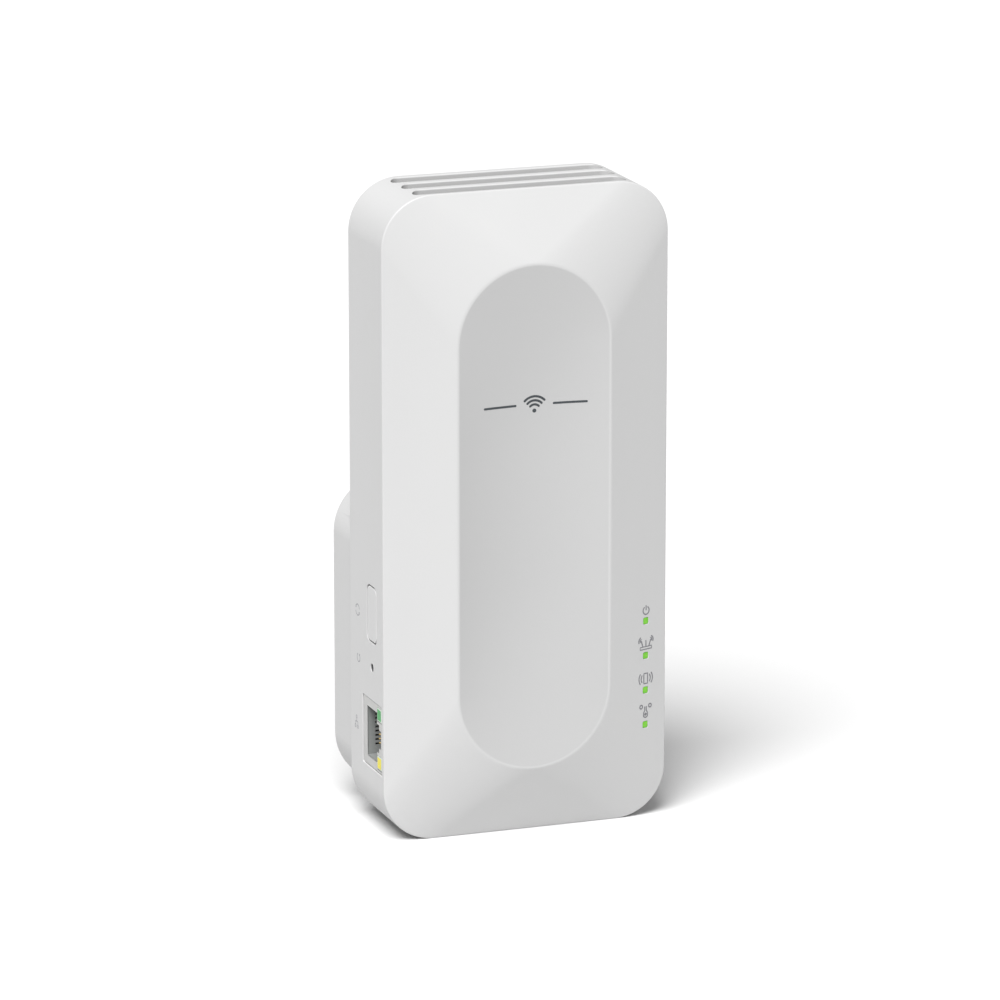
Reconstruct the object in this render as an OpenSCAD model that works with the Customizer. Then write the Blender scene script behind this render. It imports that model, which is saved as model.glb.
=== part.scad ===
// Wall-plug wireless range extender.
// The origin is the middle of the plug face, between the two mains blades.
// +Y points into the wall, the domed front faces -Y, +X is to the right seen from the front, +Z is up.

/* [Body] */
// Width of the body across the front
body_w = 68.6; // [68:0.1:72]
// Height of the body
body_h = 150; // [148:1:156]
// Depth of the straight side wall, from the front edge to the back
body_d = 23.4; // [23.2:0.1:26]
// Corner radius of the body seen from the front
corner_r = 12; // [11:0.5:13]
// Thickness of the housing wall
wall = 1.8; // [1.6:0.1:2]
// Height of the body's centre above the blades
mid_z = 24; // [22:1:26]

/* [Front] */
// Rise of the four sloping facets from the edge to the rim of the pad
dome_h = 6; // [5:0.5:7]
// Width of the round-ended pad in the middle of the front
pad_w = 36.7; // [34:0.1:38]
// Height of the round-ended pad
pad_h = 117.6; // [112:0.1:120]
// Depth of the hollow in the pad
dish_d = 2.4; // [1.2:0.1:2.4]

/* [Plug block] */
// How far the plug block stands out of the back
block_d = 15; // [14:0.5:17]
// Width of the plug block
block_w = 67.4; // [66:0.1:68]
// Height of the plug block
block_h = 74; // [72:1:76]
// Distance from the body's bottom to the block's bottom
block_lift = 3.5; // [2:0.5:5]
// Corner radius of the plug block
block_r = 13; // [12:0.5:14]
// Wall thickness of the plug block
block_wall = 2.7; // [2.4:0.1:3]
// Bevel round the block's wall side
block_bevel = 2.2; // [1:0.1:3]

/* [Mains blades] */
// Distance between the blades' middle planes
blade_pitch = 12.7; // [12.7]
// Thickness of a blade
blade_t = 1.5; // [1.5]
// Width of a blade
blade_w = 6.35; // [6.35]
// Length of a blade outside the plug face
blade_l = 16.5; // [15.9:0.1:18]
// Radius of the hole near a blade's tip
blade_hole_r = 1.55; // [1.5:0.05:1.6]
// Distance of that hole from the plug face
blade_hole_y = 11.7; // [11.7]

/* [Vents] */
// Number of slots in the top, and in the bottom
vent_count = 3; // [1:1:3]
// Length of a slot
vent_l = 51; // [40:1:51]
// Width of a slot
vent_w = 5.2; // [3:0.1:5.3]
// Distance between slots
vent_pitch = 7.4; // [7:0.1:7.6]
// Middle of the first slot behind the front edge
vent_first = 3.9; // [3.8:0.1:4.2]

/* [Side controls] */
// Middle of the side controls behind the front edge
side_y = 8; // [7.8:0.1:8.4]
// Width of the sync button
button_w = 6.4; // [6:0.1:7]
// Height of the sync button
button_h = 12.8; // [12:0.1:14]
// Height of the button's middle above the body's centre
button_z = -22.9; // [-24:0.1:-22]
// Gap round the button
button_gap = 0.3; // [0.2:0.05:0.4]
// Travel of the button and of the switch behind it
button_travel = 0.35; // [0.25:0.05:0.5]
// Radius of the reset pinhole
reset_r = 1; // [0.8:0.1:1.2]
// Height of the pinhole above the body's centre
reset_z = -35.5; // [-36:0.1:-35]
// Travel of the reset switch
reset_travel = 0.25; // [0.2:0.05:0.3]

/* [Ethernet jack] */
// Height of the jack's middle above the body's centre
jack_z = -51.4; // [-52:0.1:-51]
// Width of the jack's metal shell
jack_w = 15.9; // [15.9]
// Height of the jack's metal shell off the board
jack_t = 13.3; // [13.3]
// Length of the jack
jack_l = 21; // [20:0.5:21.5]

/* [Indicators] */
// Number of status lights
light_count = 4; // [1:1:4]
// Distance of the lights from the centre line
light_x = 28.7; // [28:0.1:29]
// Height of the first light above the body's centre
light_z = -27.7; // [-28:0.1:-27]
// Distance between lights
light_pitch = 8.25; // [8:0.05:8.5]
// Side of a light's square window
light_size = 1.6; // [1.4:0.1:2]

/* [Boards] */
// Thickness of the main board
board_t = 1.4; // [1.2:0.1:1.6]
// Width of the main board
board_w = 61; // [60:0.5:62]
// Height of the main board
board_h = 112; // [108:1:114]
// Thickness of the supply board
supply_t = 1.6; // [1.2:0.1:1.6]
// Width of the supply board
supply_w = 57; // [55:0.5:58]
// Height of the supply board
supply_h = 52; // [50:1:53]

/* [Hidden] */
$fn = 48;

e = 0.01;                                    // smallest overlap of a cutter
back_y = -block_d;                           // plane of the body's back
edge_y = back_y - body_d;                    // plane of the front edge
dome_y = edge_y - dome_h;                    // plane of the pad's rim
slope = dome_h / (body_w / 2 - pad_w / 2);   // fall of a facet for each millimetre outwards
tilt = atan(slope);
side_x = -body_w / 2;                        // plane of the side with the controls
control_y = edge_y + side_y;
top_z = mid_z + body_h / 2;
bottom_z = mid_z - body_h / 2;
block_z = bottom_z + block_lift + block_h / 2;
cover_t = 2;                                 // plate of the rear cover
fit_gap = 0.15;                              // between the cover and the housing

// boards
board_y = control_y + jack_t / 2 + 0.05;     // front face of the main board
board_back = board_y + board_t;
board_z = bottom_z + 5 + board_h / 2;
supply_y = -block_wall - 11.3;               // face of the supply board that carries its parts
supply_back = supply_y - supply_t;
supply_z = -5;

// screws: [x, z, plane under the head]
cover_points = [[-26.5, top_z - 9, -17], [26.5, top_z - 9, -17], [-26, bottom_z + 12, -15], [26, bottom_z + 12, -15]];
board_points = [[-26.5, 59], [26.5, 59], [-7, -42], [20, -42]];
supply_points = [for (x = [-1, 1], z = [-1, 1]) [x * (supply_w / 2 - 4), supply_z + z * (supply_h / 2 - 4)]];
cover_screw = [1.3, 10, 2.4, 1.5];           // shank radius, length, head radius, head height
board_screw = [1, 6, 2, 1.3];
thread_gap = 0.02;                           // between a screw and the hole it is driven into
cover_boss_r = 2.9;                          // housing bosses for the cover's screws
board_boss_r = 2.5;
rail_post_r = 1.1;
cup_r = 3.7;                                 // outside of an upper screw well
upper_well_r = 2.7;
lower_well_r = 2.9;
lower_post_r = 4.2;                          // block left full round a lower screw well
supply_post_r = 2.4;
cover_hole_r = 1.5;
board_hole_r = 1.2;

// drawn in X and Z, and carried along Y
module panel(y0, y1) translate([0, y1, 0]) rotate([90, 0, 0]) linear_extrude(y1 - y0) children();
// drawn in Y and Z, and carried along X
module flank(x0, x1) translate([x0, 0, 0]) rotate([90, 0, 90]) linear_extrude(x1 - x0) children();
// drawn in X and Y, and carried along Z
module level(z0, z1) translate([0, 0, z0]) linear_extrude(z1 - z0) children();
// a round bar along Y
module bar_y(x, z, r, y0, y1) translate([x, y1, z]) rotate([90, 0, 0]) cylinder(h = y1 - y0, r = r);
// a round bar along X
module bar_x(y, z, r, x0, x1) translate([x0, y, z]) rotate([0, 90, 0]) cylinder(h = x1 - x0, r = r);
// a block between two corners
module block(a, b) translate(a) cube(b - a);

module rounded(w, h, r) {
    square([w - 2 * r, h], center = true);
    square([w, h - 2 * r], center = true);
    for (x = [-1, 1], z = [-1, 1]) translate([x * (w / 2 - r), z * (h / 2 - r)]) circle(r);
}

module capsule(w, h) {
    square([w, h - w], center = true);
    for (z = [-1, 1]) translate([0, z * (h - w) / 2]) circle(w / 2);
}

module wide_slot(l, w) {
    square([l - w, w], center = true);
    for (x = [-1, 1]) translate([x * (l - w) / 2, 0]) circle(w / 2);
}

// pan-head screw along Y with its head towards +Y, and a cross recess
module screw(x, z, y, size) difference() {
    union() {
        bar_y(x, z, size[0], y - size[1], y + e);
        bar_y(x, z, size[2], y, y + size[3]);
    }
    translate([x, y + size[3] / 2 + 0.6, z]) {
        cube([size[2] * 1.1, size[3], 0.5], center = true);
        cube([0.5, size[3], size[2] * 1.1], center = true);
    }
}

// ---- housing ----

// the body's outside: a rounded slab with the pad's rim raised in front of it
module body_form() translate([0, 0, mid_z]) hull() {
    panel(edge_y, back_y) rounded(body_w, body_h, corner_r);
    panel(dome_y, edge_y) capsule(pad_w, pad_h);
}

// the body's inside, a wall's thickness in from every face
module body_cavity() {
    inner_edge = edge_y + wall / cos(tilt) - wall * slope;
    inner_peak = dome_y + dish_d + wall - 0.2;
    spread = (body_w / 2 - wall) - (inner_edge - inner_peak) / slope - pad_w / 2;
    translate([0, 0, mid_z]) hull() {
        panel(inner_edge, back_y + 1) rounded(body_w - 2 * wall, body_h - 2 * wall, corner_r - wall);
        panel(inner_peak, edge_y + 2) capsule(pad_w + 2 * spread, pad_h + 2 * spread);
    }
}

// the shallow round-ended hollow of the pad
module pad_dish() translate([0, 0, mid_z]) hull() {
    panel(dome_y - 1, dome_y) capsule(pad_w - 0.6, pad_h - 0.6);
    panel(dome_y, dome_y + dish_d * 0.38) capsule(pad_w - 2.6, pad_h - 2.6);
    panel(dome_y, dome_y + dish_d * 0.8) capsule(pad_w * 0.6, pad_h - pad_w * 0.4);
    panel(dome_y, dome_y + dish_d) capsule(pad_w * 0.2, pad_h - pad_w * 0.8);
}

// the slots of one end
module vents(z) for (i = [0 : vent_count - 1])
    level(z - 3, z + 3) translate([0, edge_y + vent_first + i * vent_pitch]) wide_slot(vent_l, vent_w);

module boss_tube(x, z, r, y1) bar_y(x, z, r, dome_y, y1);

module front_shell() color("whitesmoke") difference() {
    union() {
        difference() {
            body_form();
            body_cavity();
        }
        intersection() {
            body_form();
            union() {
                for (p = cover_points) boss_tube(p[0], p[1], cover_boss_r, p[2] - cover_t - 0.5);
                for (p = board_points) boss_tube(p[0], p[1], board_boss_r, board_y);
                for (z = rail_posts) boss_tube(light_x, z, rail_post_r, rail_y);
                for (x = [-antenna_x, antenna_x]) {
                    block([x - 5, dome_y, top_antenna_z + 3.9], [x + 5, antenna_y - foam_t, top_antenna_z + 5.1]);
                    block([x - 0.6, dome_y, top_antenna_z + 1], [x + 0.6, antenna_y - foam_t, top_antenna_z + 8]);
                }
            }
        }
    }
    pad_dish();
    vents(top_z);
    vents(bottom_z);
    // button opening, reset pinhole and jack opening
    flank(side_x - 1, side_x + wall + 1) {
        translate([control_y, mid_z + button_z])
            rounded(button_w + 2 * button_gap, button_h + 2 * button_gap, 1.9);
        translate([control_y, mid_z + jack_z]) square([jack_t + 0.4, jack_w + 0.4], center = true);
    }
    block([side_x + wall - e, control_y - jack_t / 2 - 0.2, mid_z + jack_z - jack_w / 2 - 0.2],
        [side_x + jack_l + 1, board_y, mid_z + jack_z + jack_w / 2 + 0.2]);
    bar_x(control_y, mid_z + reset_z, reset_r, side_x - 1, side_x + wall + 1);
    // windows of the status lights
    for (i = [0 : light_count - 1])
        panel(dome_y, edge_y + 3) translate([light_x, mid_z + light_z - i * light_pitch])
            square(light_size, center = true);
    // screw pilots
    for (p = cover_points) bar_y(p[0], p[1], cover_screw[0] + thread_gap, p[2] - cover_screw[1] - 1, back_y);
    for (p = board_points) bar_y(p[0], p[1], board_screw[0] + thread_gap, board_back - board_screw[1] - 1, board_y + 1);
}

module rear_cover() color("whitesmoke") difference() {
    union() {
        // plate in the housing's back
        translate([0, 0, mid_z]) panel(back_y - cover_t, back_y)
            rounded(body_w - 2 * (wall + fit_gap), body_h - 2 * (wall + fit_gap), corner_r - wall - fit_gap);
        // plug block with its bevelled wall side
        translate([0, 0, block_z]) {
            panel(back_y, -block_bevel) rounded(block_w, block_h, block_r);
            hull() {
                panel(-block_bevel - e, -block_bevel) rounded(block_w, block_h, block_r);
                panel(-e, 0) rounded(block_w - 2 * block_bevel, block_h - 2 * block_bevel, block_r - block_bevel);
            }
        }
        for (p = [cover_points[0], cover_points[1]]) bar_y(p[0], p[1], cup_r, p[2] - cover_t - 0.4, back_y);
    }
    // inside of the block, left full round the deep screw wells and the supply board's posts
    difference() {
        translate([0, 0, block_z]) panel(back_y - cover_t - 1, -block_wall)
            rounded(block_w - 2 * block_wall, block_h - 2 * block_wall, block_r - block_wall);
        for (p = [cover_points[2], cover_points[3]]) bar_y(p[0], p[1], lower_post_r, back_y - cover_t, 0);
        for (p = supply_points) bar_y(p[0], p[1], supply_post_r, supply_y, 0);
    }
    // screw wells and holes
    for (p = [cover_points[0], cover_points[1]]) bar_y(p[0], p[1], upper_well_r, p[2], back_y + 1);
    for (p = [cover_points[2], cover_points[3]]) bar_y(p[0], p[1], lower_well_r, p[2], 1);
    for (p = cover_points) bar_y(p[0], p[1], cover_hole_r, back_y - 6, p[2] + e);
    for (p = supply_points) bar_y(p[0], p[1], board_screw[0] + thread_gap,
        supply_y - 1, supply_y + board_screw[1] - supply_t + 1);
    // seat of the plug insert and of the label
    panel(-block_wall - 1, 1) rounded(insert_w + 0.2, insert_h + 0.2, 3.1);
    translate([0, 0, label_z]) panel(-0.3, 1) rounded(label_w + 0.4, label_h + 0.4, 1.7);
}

module cover_screws() color("silver") for (p = cover_points) screw(p[0], p[1], p[2], cover_screw);

// ---- plug ----

insert_w = 26;
insert_h = 19;
flange_t = 2.2;                              // inner flange of the plug insert
tab_w = 4;                                   // blade's tab that goes through the supply board

module plug_insert() color("whitesmoke") difference() {
    union() {
        panel(-block_wall - e, 0) rounded(insert_w, insert_h, 3);
        panel(-block_wall - flange_t, -block_wall) rounded(insert_w + 5, insert_h + 3.6, 3);
    }
    for (x = [-1, 1]) block([x * blade_pitch / 2 - blade_t / 2 - 0.02, -block_wall - flange_t - 1, -blade_w / 2 - 0.02],
        [x * blade_pitch / 2 + blade_t / 2 + 0.02, 1, blade_w / 2 + 0.02]);
}

// one blade: a stamped strip with a tapered tip, a latch hole and a solder tab
module blade(x) color("silver") difference() {
    flank(x - blade_t / 2, x + blade_t / 2) {
        polygon([[-block_wall - flange_t, -blade_w / 2], [blade_l - 1.6, -blade_w / 2], [blade_l, -blade_w / 2 + 1.4],
            [blade_l, blade_w / 2 - 1.4], [blade_l - 1.6, blade_w / 2], [-block_wall - flange_t, blade_w / 2]]);
        translate([-block_wall - flange_t - 2, -4]) square([2, 8]);
        translate([supply_back - 1, -tab_w / 2]) square([-block_wall - flange_t - supply_back + 1, tab_w]);
    }
    bar_x(blade_hole_y, 0, blade_hole_r, x - 2, x + 2);
}

module blade_left() blade(-blade_pitch / 2);
module blade_right() blade(blade_pitch / 2);

label_w = 40;
label_h = 19;
label_z = -29.5;
module rating_label() color("gainsboro") translate([0, 0, label_z]) panel(-0.3, -0.1) rounded(label_w, label_h, 1.5);

// ---- side controls ----

switch_x = -26.5;                            // front face of the switch bodies
switch_t = 3.4;
switch_s = 6.2;
plunger_out = 1.2;
switch_centres = [mid_z + button_z, mid_z + reset_z];

module sync_button() color("white") {
    flank(side_x, side_x + wall + 0.25) translate([control_y, mid_z + button_z]) rounded(button_w, button_h, 1.6);
    flank(side_x + wall + 0.2, side_x + wall + 1.2) translate([control_y, mid_z + button_z])
        rounded(button_w + 2.4, button_h + 2.4, 1.6);
    bar_x(control_y, mid_z + button_z, 1.6, side_x + wall + 1.1, switch_x - plunger_out - 0.02);
}

module switch_body(z) color("dimgray") difference() {
    translate([switch_x, control_y, z]) flank(0, switch_t) rounded(switch_s, switch_s, 0.6);
    bar_x(control_y, z, 1.75, switch_x - 1, switch_x + 1.8);
}

module sync_switch_body() switch_body(switch_centres[0]);
module reset_switch_body() switch_body(switch_centres[1]);

module plunger(z) color("black") bar_x(control_y, z, 1.7, switch_x - plunger_out, switch_x + 1.2);
module sync_switch_plunger() plunger(switch_centres[0]);
module reset_switch_plunger() plunger(switch_centres[1]);

// steel frames that hold the switches square to the board
module switch_brackets() color("silver") for (z = switch_centres) translate([0, 0, z]) difference() {
    block([switch_x - 0.3, control_y - 3.4, -3.4], [switch_x + switch_t - 0.6, board_y, 3.4]);
    block([switch_x, control_y - 3.11, -3.11], [switch_x + switch_t + 1, board_y + 1, 3.11]);
    block([switch_x - 1, control_y - 2.2, -2.4], [switch_x + 1, control_y + 2.4, 2.4]);
}

// ---- Ethernet jack ----

jack_mouth = side_x + 0.25;
port_w = 11.8;                               // mouth of the socket for the plug
port_h = 6.9;
port_y = control_y + 4.4;                    // side of the mouth with the contacts
jack_lights_y = control_y - 4.15;
light_side = 3.3;
light_rise = 5.7;                            // of the jack's lights above and below its middle
contact_pitch = 1.02;
port_steps = [[1.5, 6.6], [2.8, 4.2]];       // latch steps: depth past the port, width

// outline of the socket: the plug's body, then the two steps of its latch
module port_outline() {
    translate([port_y - port_h, -port_w / 2]) square([port_h, port_w]);
    for (s = port_steps) translate([port_y - port_h - s[0], -s[1] / 2]) square([s[0] + 0.1, s[1]]);
}

module jack_shield() color("silver") translate([0, 0, mid_z + jack_z]) difference() {
    block([jack_mouth, control_y - jack_t / 2, -jack_w / 2], [jack_mouth + jack_l, control_y + jack_t / 2, jack_w / 2]);
    block([jack_mouth + 0.3, control_y - jack_t / 2 + 0.3, -jack_w / 2 + 0.3],
        [jack_mouth + jack_l - 0.3, control_y + jack_t / 2 + 1, jack_w / 2 - 0.3]);
    flank(jack_mouth - 1, jack_mouth + 1) port_outline();
    for (z = [-1, 1]) flank(jack_mouth - 1, jack_mouth + 1) translate([jack_lights_y, z * light_rise])
        square(light_side + 0.1, center = true);
}

module jack_housing() color("dimgray") translate([0, 0, mid_z + jack_z]) difference() {
    block([jack_mouth + 0.32, control_y - jack_t / 2 + 0.32, -jack_w / 2 + 0.32],
        [jack_mouth + jack_l - 0.32, control_y + jack_t / 2 - 0.02, jack_w / 2 - 0.32]);
    flank(jack_mouth - 1, jack_mouth + 13) port_outline();
    for (z = [-light_rise, light_rise]) block([jack_mouth - 1, jack_lights_y - light_side / 2 - 0.05,
        z - light_side / 2 - 0.05],
        [jack_mouth + 10.1, jack_lights_y + light_side / 2 + 0.05, z + light_side / 2 + 0.05]);
    for (i = [0 : 7]) block([jack_mouth + 2, port_y - 1, (i - 3.5) * contact_pitch - 0.25],
        [jack_mouth + 14, port_y + 1.4, (i - 3.5) * contact_pitch + 0.25]);
}

// eight sprung wires that slope into the mouth
module jack_contacts() color("gold") translate([0, 0, mid_z + jack_z]) for (i = [0 : 7])
    translate([0, 0, (i - 3.5) * contact_pitch - 0.2]) linear_extrude(0.4)
        polygon([[jack_mouth + 3, port_y + 0.5], [jack_mouth + 10.5, port_y - 3.2], [jack_mouth + 11.4, port_y - 3.2],
            [jack_mouth + 11.4, port_y - 2.8], [jack_mouth + 10.7, port_y - 2.8], [jack_mouth + 4, port_y + 0.5],
            [jack_mouth + 12.9, port_y + 0.5], [jack_mouth + 12.9, port_y + 0.9], [jack_mouth + 3, port_y + 0.9]]);

module jack_light(z) translate([0, 0, mid_z + jack_z + z])
    block([jack_mouth, jack_lights_y - light_side / 2, -light_side / 2],
        [jack_mouth + 10, jack_lights_y + light_side / 2, light_side / 2]);
module jack_light_green() color("limegreen") jack_light(light_rise);
module jack_light_yellow() color("gold") jack_light(-light_rise);

// ---- status lights ----

pipe_front = edge_y - slope * (body_w / 2 - light_x - light_size / 2) + 0.02;
light_zs = [for (i = [0 : light_count - 1]) mid_z + light_z - i * light_pitch];
rail_z = [light_zs[light_count - 1] - 4, light_zs[0] + 4];
rail_y = edge_y + 3.4;                       // front face of the rail that joins the rods
rail_posts = [rail_z[0] + 1.4, rail_z[1] - 1.4];

// four clear rods on one rail
module light_pipe() color("azure", 0.6) {
    for (z = light_zs) block([light_x - 0.7, pipe_front, z - 0.7], [light_x + 0.7, board_y - 1.7, z + 0.7]);
    block([light_x - 1.2, rail_y, rail_z[0]], [light_x + 1.2, rail_y + 1.5, rail_z[1]]);
}

module light_gasket() color("black") difference() {
    block([light_x - 1.6, board_y - 1.6, rail_z[0]], [light_x + 1.6, board_y, rail_z[1]]);
    for (z = light_zs) block([light_x - 1, board_y - 2, z - 1.2], [light_x + 1, board_y + 1, z + 1.2]);
}

module status_leds() color("lightyellow") for (z = light_zs)
    block([light_x - 0.6, board_y - 0.7, z - 0.9], [light_x + 0.6, board_y, z + 0.9]);

// ---- main board ----

module main_board() color("darkgreen") difference() {
    translate([0, 0, board_z]) panel(board_y, board_back) rounded(board_w, board_h, 7.5);
    for (p = [cover_points[2], cover_points[3]]) bar_y(p[0], p[1], 3.3, board_y - 1, board_back + 1);
    for (p = board_points) bar_y(p[0], p[1], board_hole_r, board_y - 1, board_back + 1);
    for (p = pin_points) bar_y(p[0], p[1], 1.3, board_y - 1, board_back + 1);
}

module board_screws() color("silver") for (p = board_points) screw(p[0], p[1], board_back, board_screw);

cpu_at = [1, 2];                             // middle of the processor's shield
radio_at = [0, 40];                          // middle of the radio's shield
cpu_can = [34, 32];
radio_can = [44, 26];
can_h = 2.6;
can_t = 0.2;
pad_t = 0.8;

module chip(at, size, h) block([at[0] - size[0] / 2, board_y - h, at[1] - size[1] / 2],
    [at[0] + size[0] / 2, board_y, at[1] + size[1] / 2]);

module processor_chip() color("black") chip([cpu_at[0] - 5, cpu_at[1]], [15, 15], 1.4);
module memory_chip() color("black") chip([cpu_at[0] + 10, cpu_at[1]], [9, 13], 1.1);
module radio_chip() color("black") {
    chip([radio_at[0] - 11, radio_at[1]], [12, 12], 1.2);
    chip([radio_at[0] + 11, radio_at[1]], [12, 12], 1.2);
}

// a pressed tin can over the chips
module can(at, size) color("silver") difference() {
    chip(at, size, can_h);
    chip(at, [size[0] - 2 * can_t, size[1] - 2 * can_t], can_h - can_t);
}
module processor_shield() can(cpu_at, cpu_can);
module radio_shield() can(radio_at, radio_can);

module pad(at, size) color("lightsteelblue") block([at[0] - size[0] / 2, board_y - can_h - pad_t, at[1] - size[1] / 2],
    [at[0] + size[0] / 2, board_y - can_h, at[1] + size[1] / 2]);
module processor_pad() pad(cpu_at, [24, 24]);
module radio_pad() pad(radio_at, [36, 18]);

sink_w = 46;
sink_z = [-16, 56];
sink_base = 1.6;
fin_h = 5.6;
fin_count = 12;
sink_y = board_y - can_h - pad_t;            // back of the heatsink's base
pin_points = [[-19.5, -12], [19.5, 21]];

module heatsink() color("silver") difference() {
    union() {
        block([-sink_w / 2, sink_y - sink_base, sink_z[0]], [sink_w / 2, sink_y, sink_z[1]]);
        for (i = [0 : fin_count - 1]) {
            x = -sink_w / 2 + i * (sink_w - 1) / (fin_count - 1);
            block([x, sink_y - sink_base - fin_h, sink_z[0]], [x + 1, sink_y - sink_base + e, sink_z[1]]);
        }
    }
    for (p = pin_points) {
        bar_y(p[0], p[1], 1.3, sink_y - 20, sink_y + 1);
        bar_y(p[0], p[1], 3.1, sink_y - 20, sink_y - sink_base);
    }
}

// push pins through the heatsink and the board
module heatsink_pins() color("black") for (p = pin_points) {
    bar_y(p[0], p[1], 2.6, sink_y - sink_base - 1.4, sink_y - sink_base);
    bar_y(p[0], p[1], 1.2, sink_y - sink_base - e, board_back);
    bar_y(p[0], p[1], 1.8, board_back, board_back + 1);
}

module ethernet_transformer() color("black") chip([-3, mid_z + jack_z], [12.5, 9.4], 3.2);

module power_inductors() color("dimgray") for (p = [[12, -29], [20, -29]]) chip(p, [6, 6], 3);

module board_capacitors() color("silver") for (p = [[8, -38], [13.5, -38]])
    bar_y(p[0], p[1], 2, board_y - 5.2, board_y);

// ---- antennas ----

antenna_t = 0.8;
antenna_w = 9;
antenna_x = 15.5;                            // middle of an upper antenna
antenna_y = -31;                             // front face of the upper antennas
top_antenna_z = 77;
top_antenna_l = 27;
side_antenna_x = body_w / 2 - wall - 1.2;    // middle plane of a side antenna
side_antenna_y = -36.5;                      // front edge of a side antenna
side_antenna_z = [16, 50];
foam_t = 0.8;
feed_z = 62;                                 // row of antenna sockets on the board
sockets_x = [-15, -5, 5, 15];

module antenna_top(x) color("seagreen") block([x - top_antenna_l / 2, antenna_y, top_antenna_z],
    [x + top_antenna_l / 2, antenna_y + antenna_t, top_antenna_z + antenna_w]);
module antenna_top_left() antenna_top(-antenna_x);
module antenna_top_right() antenna_top(antenna_x);

module antenna_side(x) color("seagreen") block([x - antenna_t / 2, side_antenna_y, side_antenna_z[0]],
    [x + antenna_t / 2, side_antenna_y + antenna_w, side_antenna_z[1]]);
module antenna_left() antenna_side(-side_antenna_x);
module antenna_right() antenna_side(side_antenna_x);

// foam that sticks the antennas to the housing
module antenna_pads() color("gray") for (s = [-1, 1]) {
    x = s * (side_antenna_x + antenna_t / 2 + foam_t / 2);
    block([x - foam_t / 2, side_antenna_y + 1.5, side_antenna_z[0] + 6],
        [x + foam_t / 2, side_antenna_y + antenna_w - 1.5, side_antenna_z[1] - 6]);
    block([s * antenna_x - 6, antenna_y - foam_t, top_antenna_z + 2.5],
        [s * antenna_x + 6, antenna_y, top_antenna_z + 6.5]);
}

module antenna_sockets() color("gold") for (x = sockets_x) {
    block([x - 1.4, board_y - 0.5, feed_z - 1.4], [x + 1.4, board_y, feed_z + 1.4]);
    bar_y(x, feed_z, 0.9, board_y - 1.2, board_y - 0.5 + e);
}

cable_r = 0.57;
cable_sides = 8;

// a round tube through a list of points, one ring at each
module cable(points) color("black") {
    count = len(points);
    rings = [for (i = [0 : count - 1])
        let (a = points[max(i - 1, 0)], b = points[min(i + 1, count - 1)], d = (b - a) / norm(b - a),
            side = cross(d, abs(d[1]) > 0.9 ? [1, 0, 0] : [0, 1, 0]), u = side / norm(side), v = cross(d, u))
        for (k = [0 : cable_sides - 1])
            let (t = 360 * k / cable_sides) points[i] + cable_r * (cos(t) * u + sin(t) * v)];
    polyhedron(rings, concat([[for (k = [cable_sides - 1 : -1 : 0]) k]],
        [for (i = [0 : count - 2], k = [0 : cable_sides - 1])
            let (n = (k + 1) % cable_sides, p = i * cable_sides)
                [p + k, p + n, p + cable_sides + n, p + cable_sides + k]],
        [[for (k = [0 : cable_sides - 1]) (count - 1) * cable_sides + k]]));
}

// a smooth path: a curve through control points
function bend(p, steps) = [for (s = [0 : steps * (len(p) - 3)])
    let (i = min(floor(s / steps), len(p) - 4), t = s / steps - i)
        0.5 * (2 * p[i + 1] + (p[i + 2] - p[i]) * t + (2 * p[i] - 5 * p[i + 1] + 4 * p[i + 2] - p[i + 3]) * t * t
            + (3 * p[i + 1] - p[i] - 3 * p[i + 2] + p[i + 3]) * t * t * t)];

plug_y = board_y - 1.3 - cable_r;            // plane of the cables at their sockets
top_y = antenna_y + antenna_t + cable_r + 0.03;
end_x = side_antenna_x - antenna_t / 2 - cable_r - 0.03;
module coax_top(s, socket) cable(bend([[socket, plug_y, 58], [socket, plug_y, feed_z], [socket + s, plug_y, 68],
    [s * 13, top_y, 73], [s * antenna_x, top_y, 78], [s * antenna_x, top_y, 82], [s * antenna_x, top_y, 86]], 6));
module coax_side(s, socket) cable(bend([[socket - 3 * s, plug_y, feed_z], [socket, plug_y, feed_z],
    [socket + 7 * s, plug_y - 1, 64.5], [s * 28, -28, 66], [s * end_x, -31, 60], [s * end_x, -32, 53], [s * end_x, -32, 44], [s * end_x, -32, 38]], 6));
module coax_top_left() coax_top(-1, sockets_x[1]);
module coax_top_right() coax_top(1, sockets_x[2]);
module coax_left() coax_side(-1, sockets_x[0]);
module coax_right() coax_side(1, sockets_x[3]);

// ---- power supply ----

header_at = [-2, -20];

module power_header() color("black") difference() {
    block([header_at[0] - 5.2, board_back, header_at[1] - 1.3], [header_at[0] + 5.2, supply_back, header_at[1] + 1.3]);
    header_pins(0.02);
}
module header_pins(grow) for (i = [0 : 3]) translate([header_at[0] + (i - 1.5) * 2.54, 0, header_at[1]])
    block([-0.32 - grow, board_back - 0.5 * grow, -0.32 - grow], [0.32 + grow, supply_back + 0.5 * grow, 0.32 + grow]);
module power_header_pins() color("gold") header_pins(0);

sheet_y = supply_back - board_screw[3];      // the sheet lies on the heads of the supply board's screws
module insulation_sheet() color("ivory", 0.8) difference() {
    translate([0, 0, supply_z]) panel(sheet_y - 0.3, sheet_y) rounded(supply_w, supply_h, 3);
    block([header_at[0] - 5.5, sheet_y - 1, header_at[1] - 1.6], [header_at[0] + 5.5, sheet_y + 1, header_at[1] + 1.6]);
}

module supply_board() color("burlywood") difference() {
    translate([0, 0, supply_z]) panel(supply_back, supply_y) rounded(supply_w, supply_h, 3);
    for (p = supply_points) bar_y(p[0], p[1], board_hole_r, supply_back - 1, supply_y + 1);
    for (x = [-1, 1]) block([x * blade_pitch / 2 - blade_t / 2 - 0.1, supply_back - 1, -tab_w / 2 - 0.1],
        [x * blade_pitch / 2 + blade_t / 2 + 0.1, supply_y + 1, tab_w / 2 + 0.1]);
}

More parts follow.
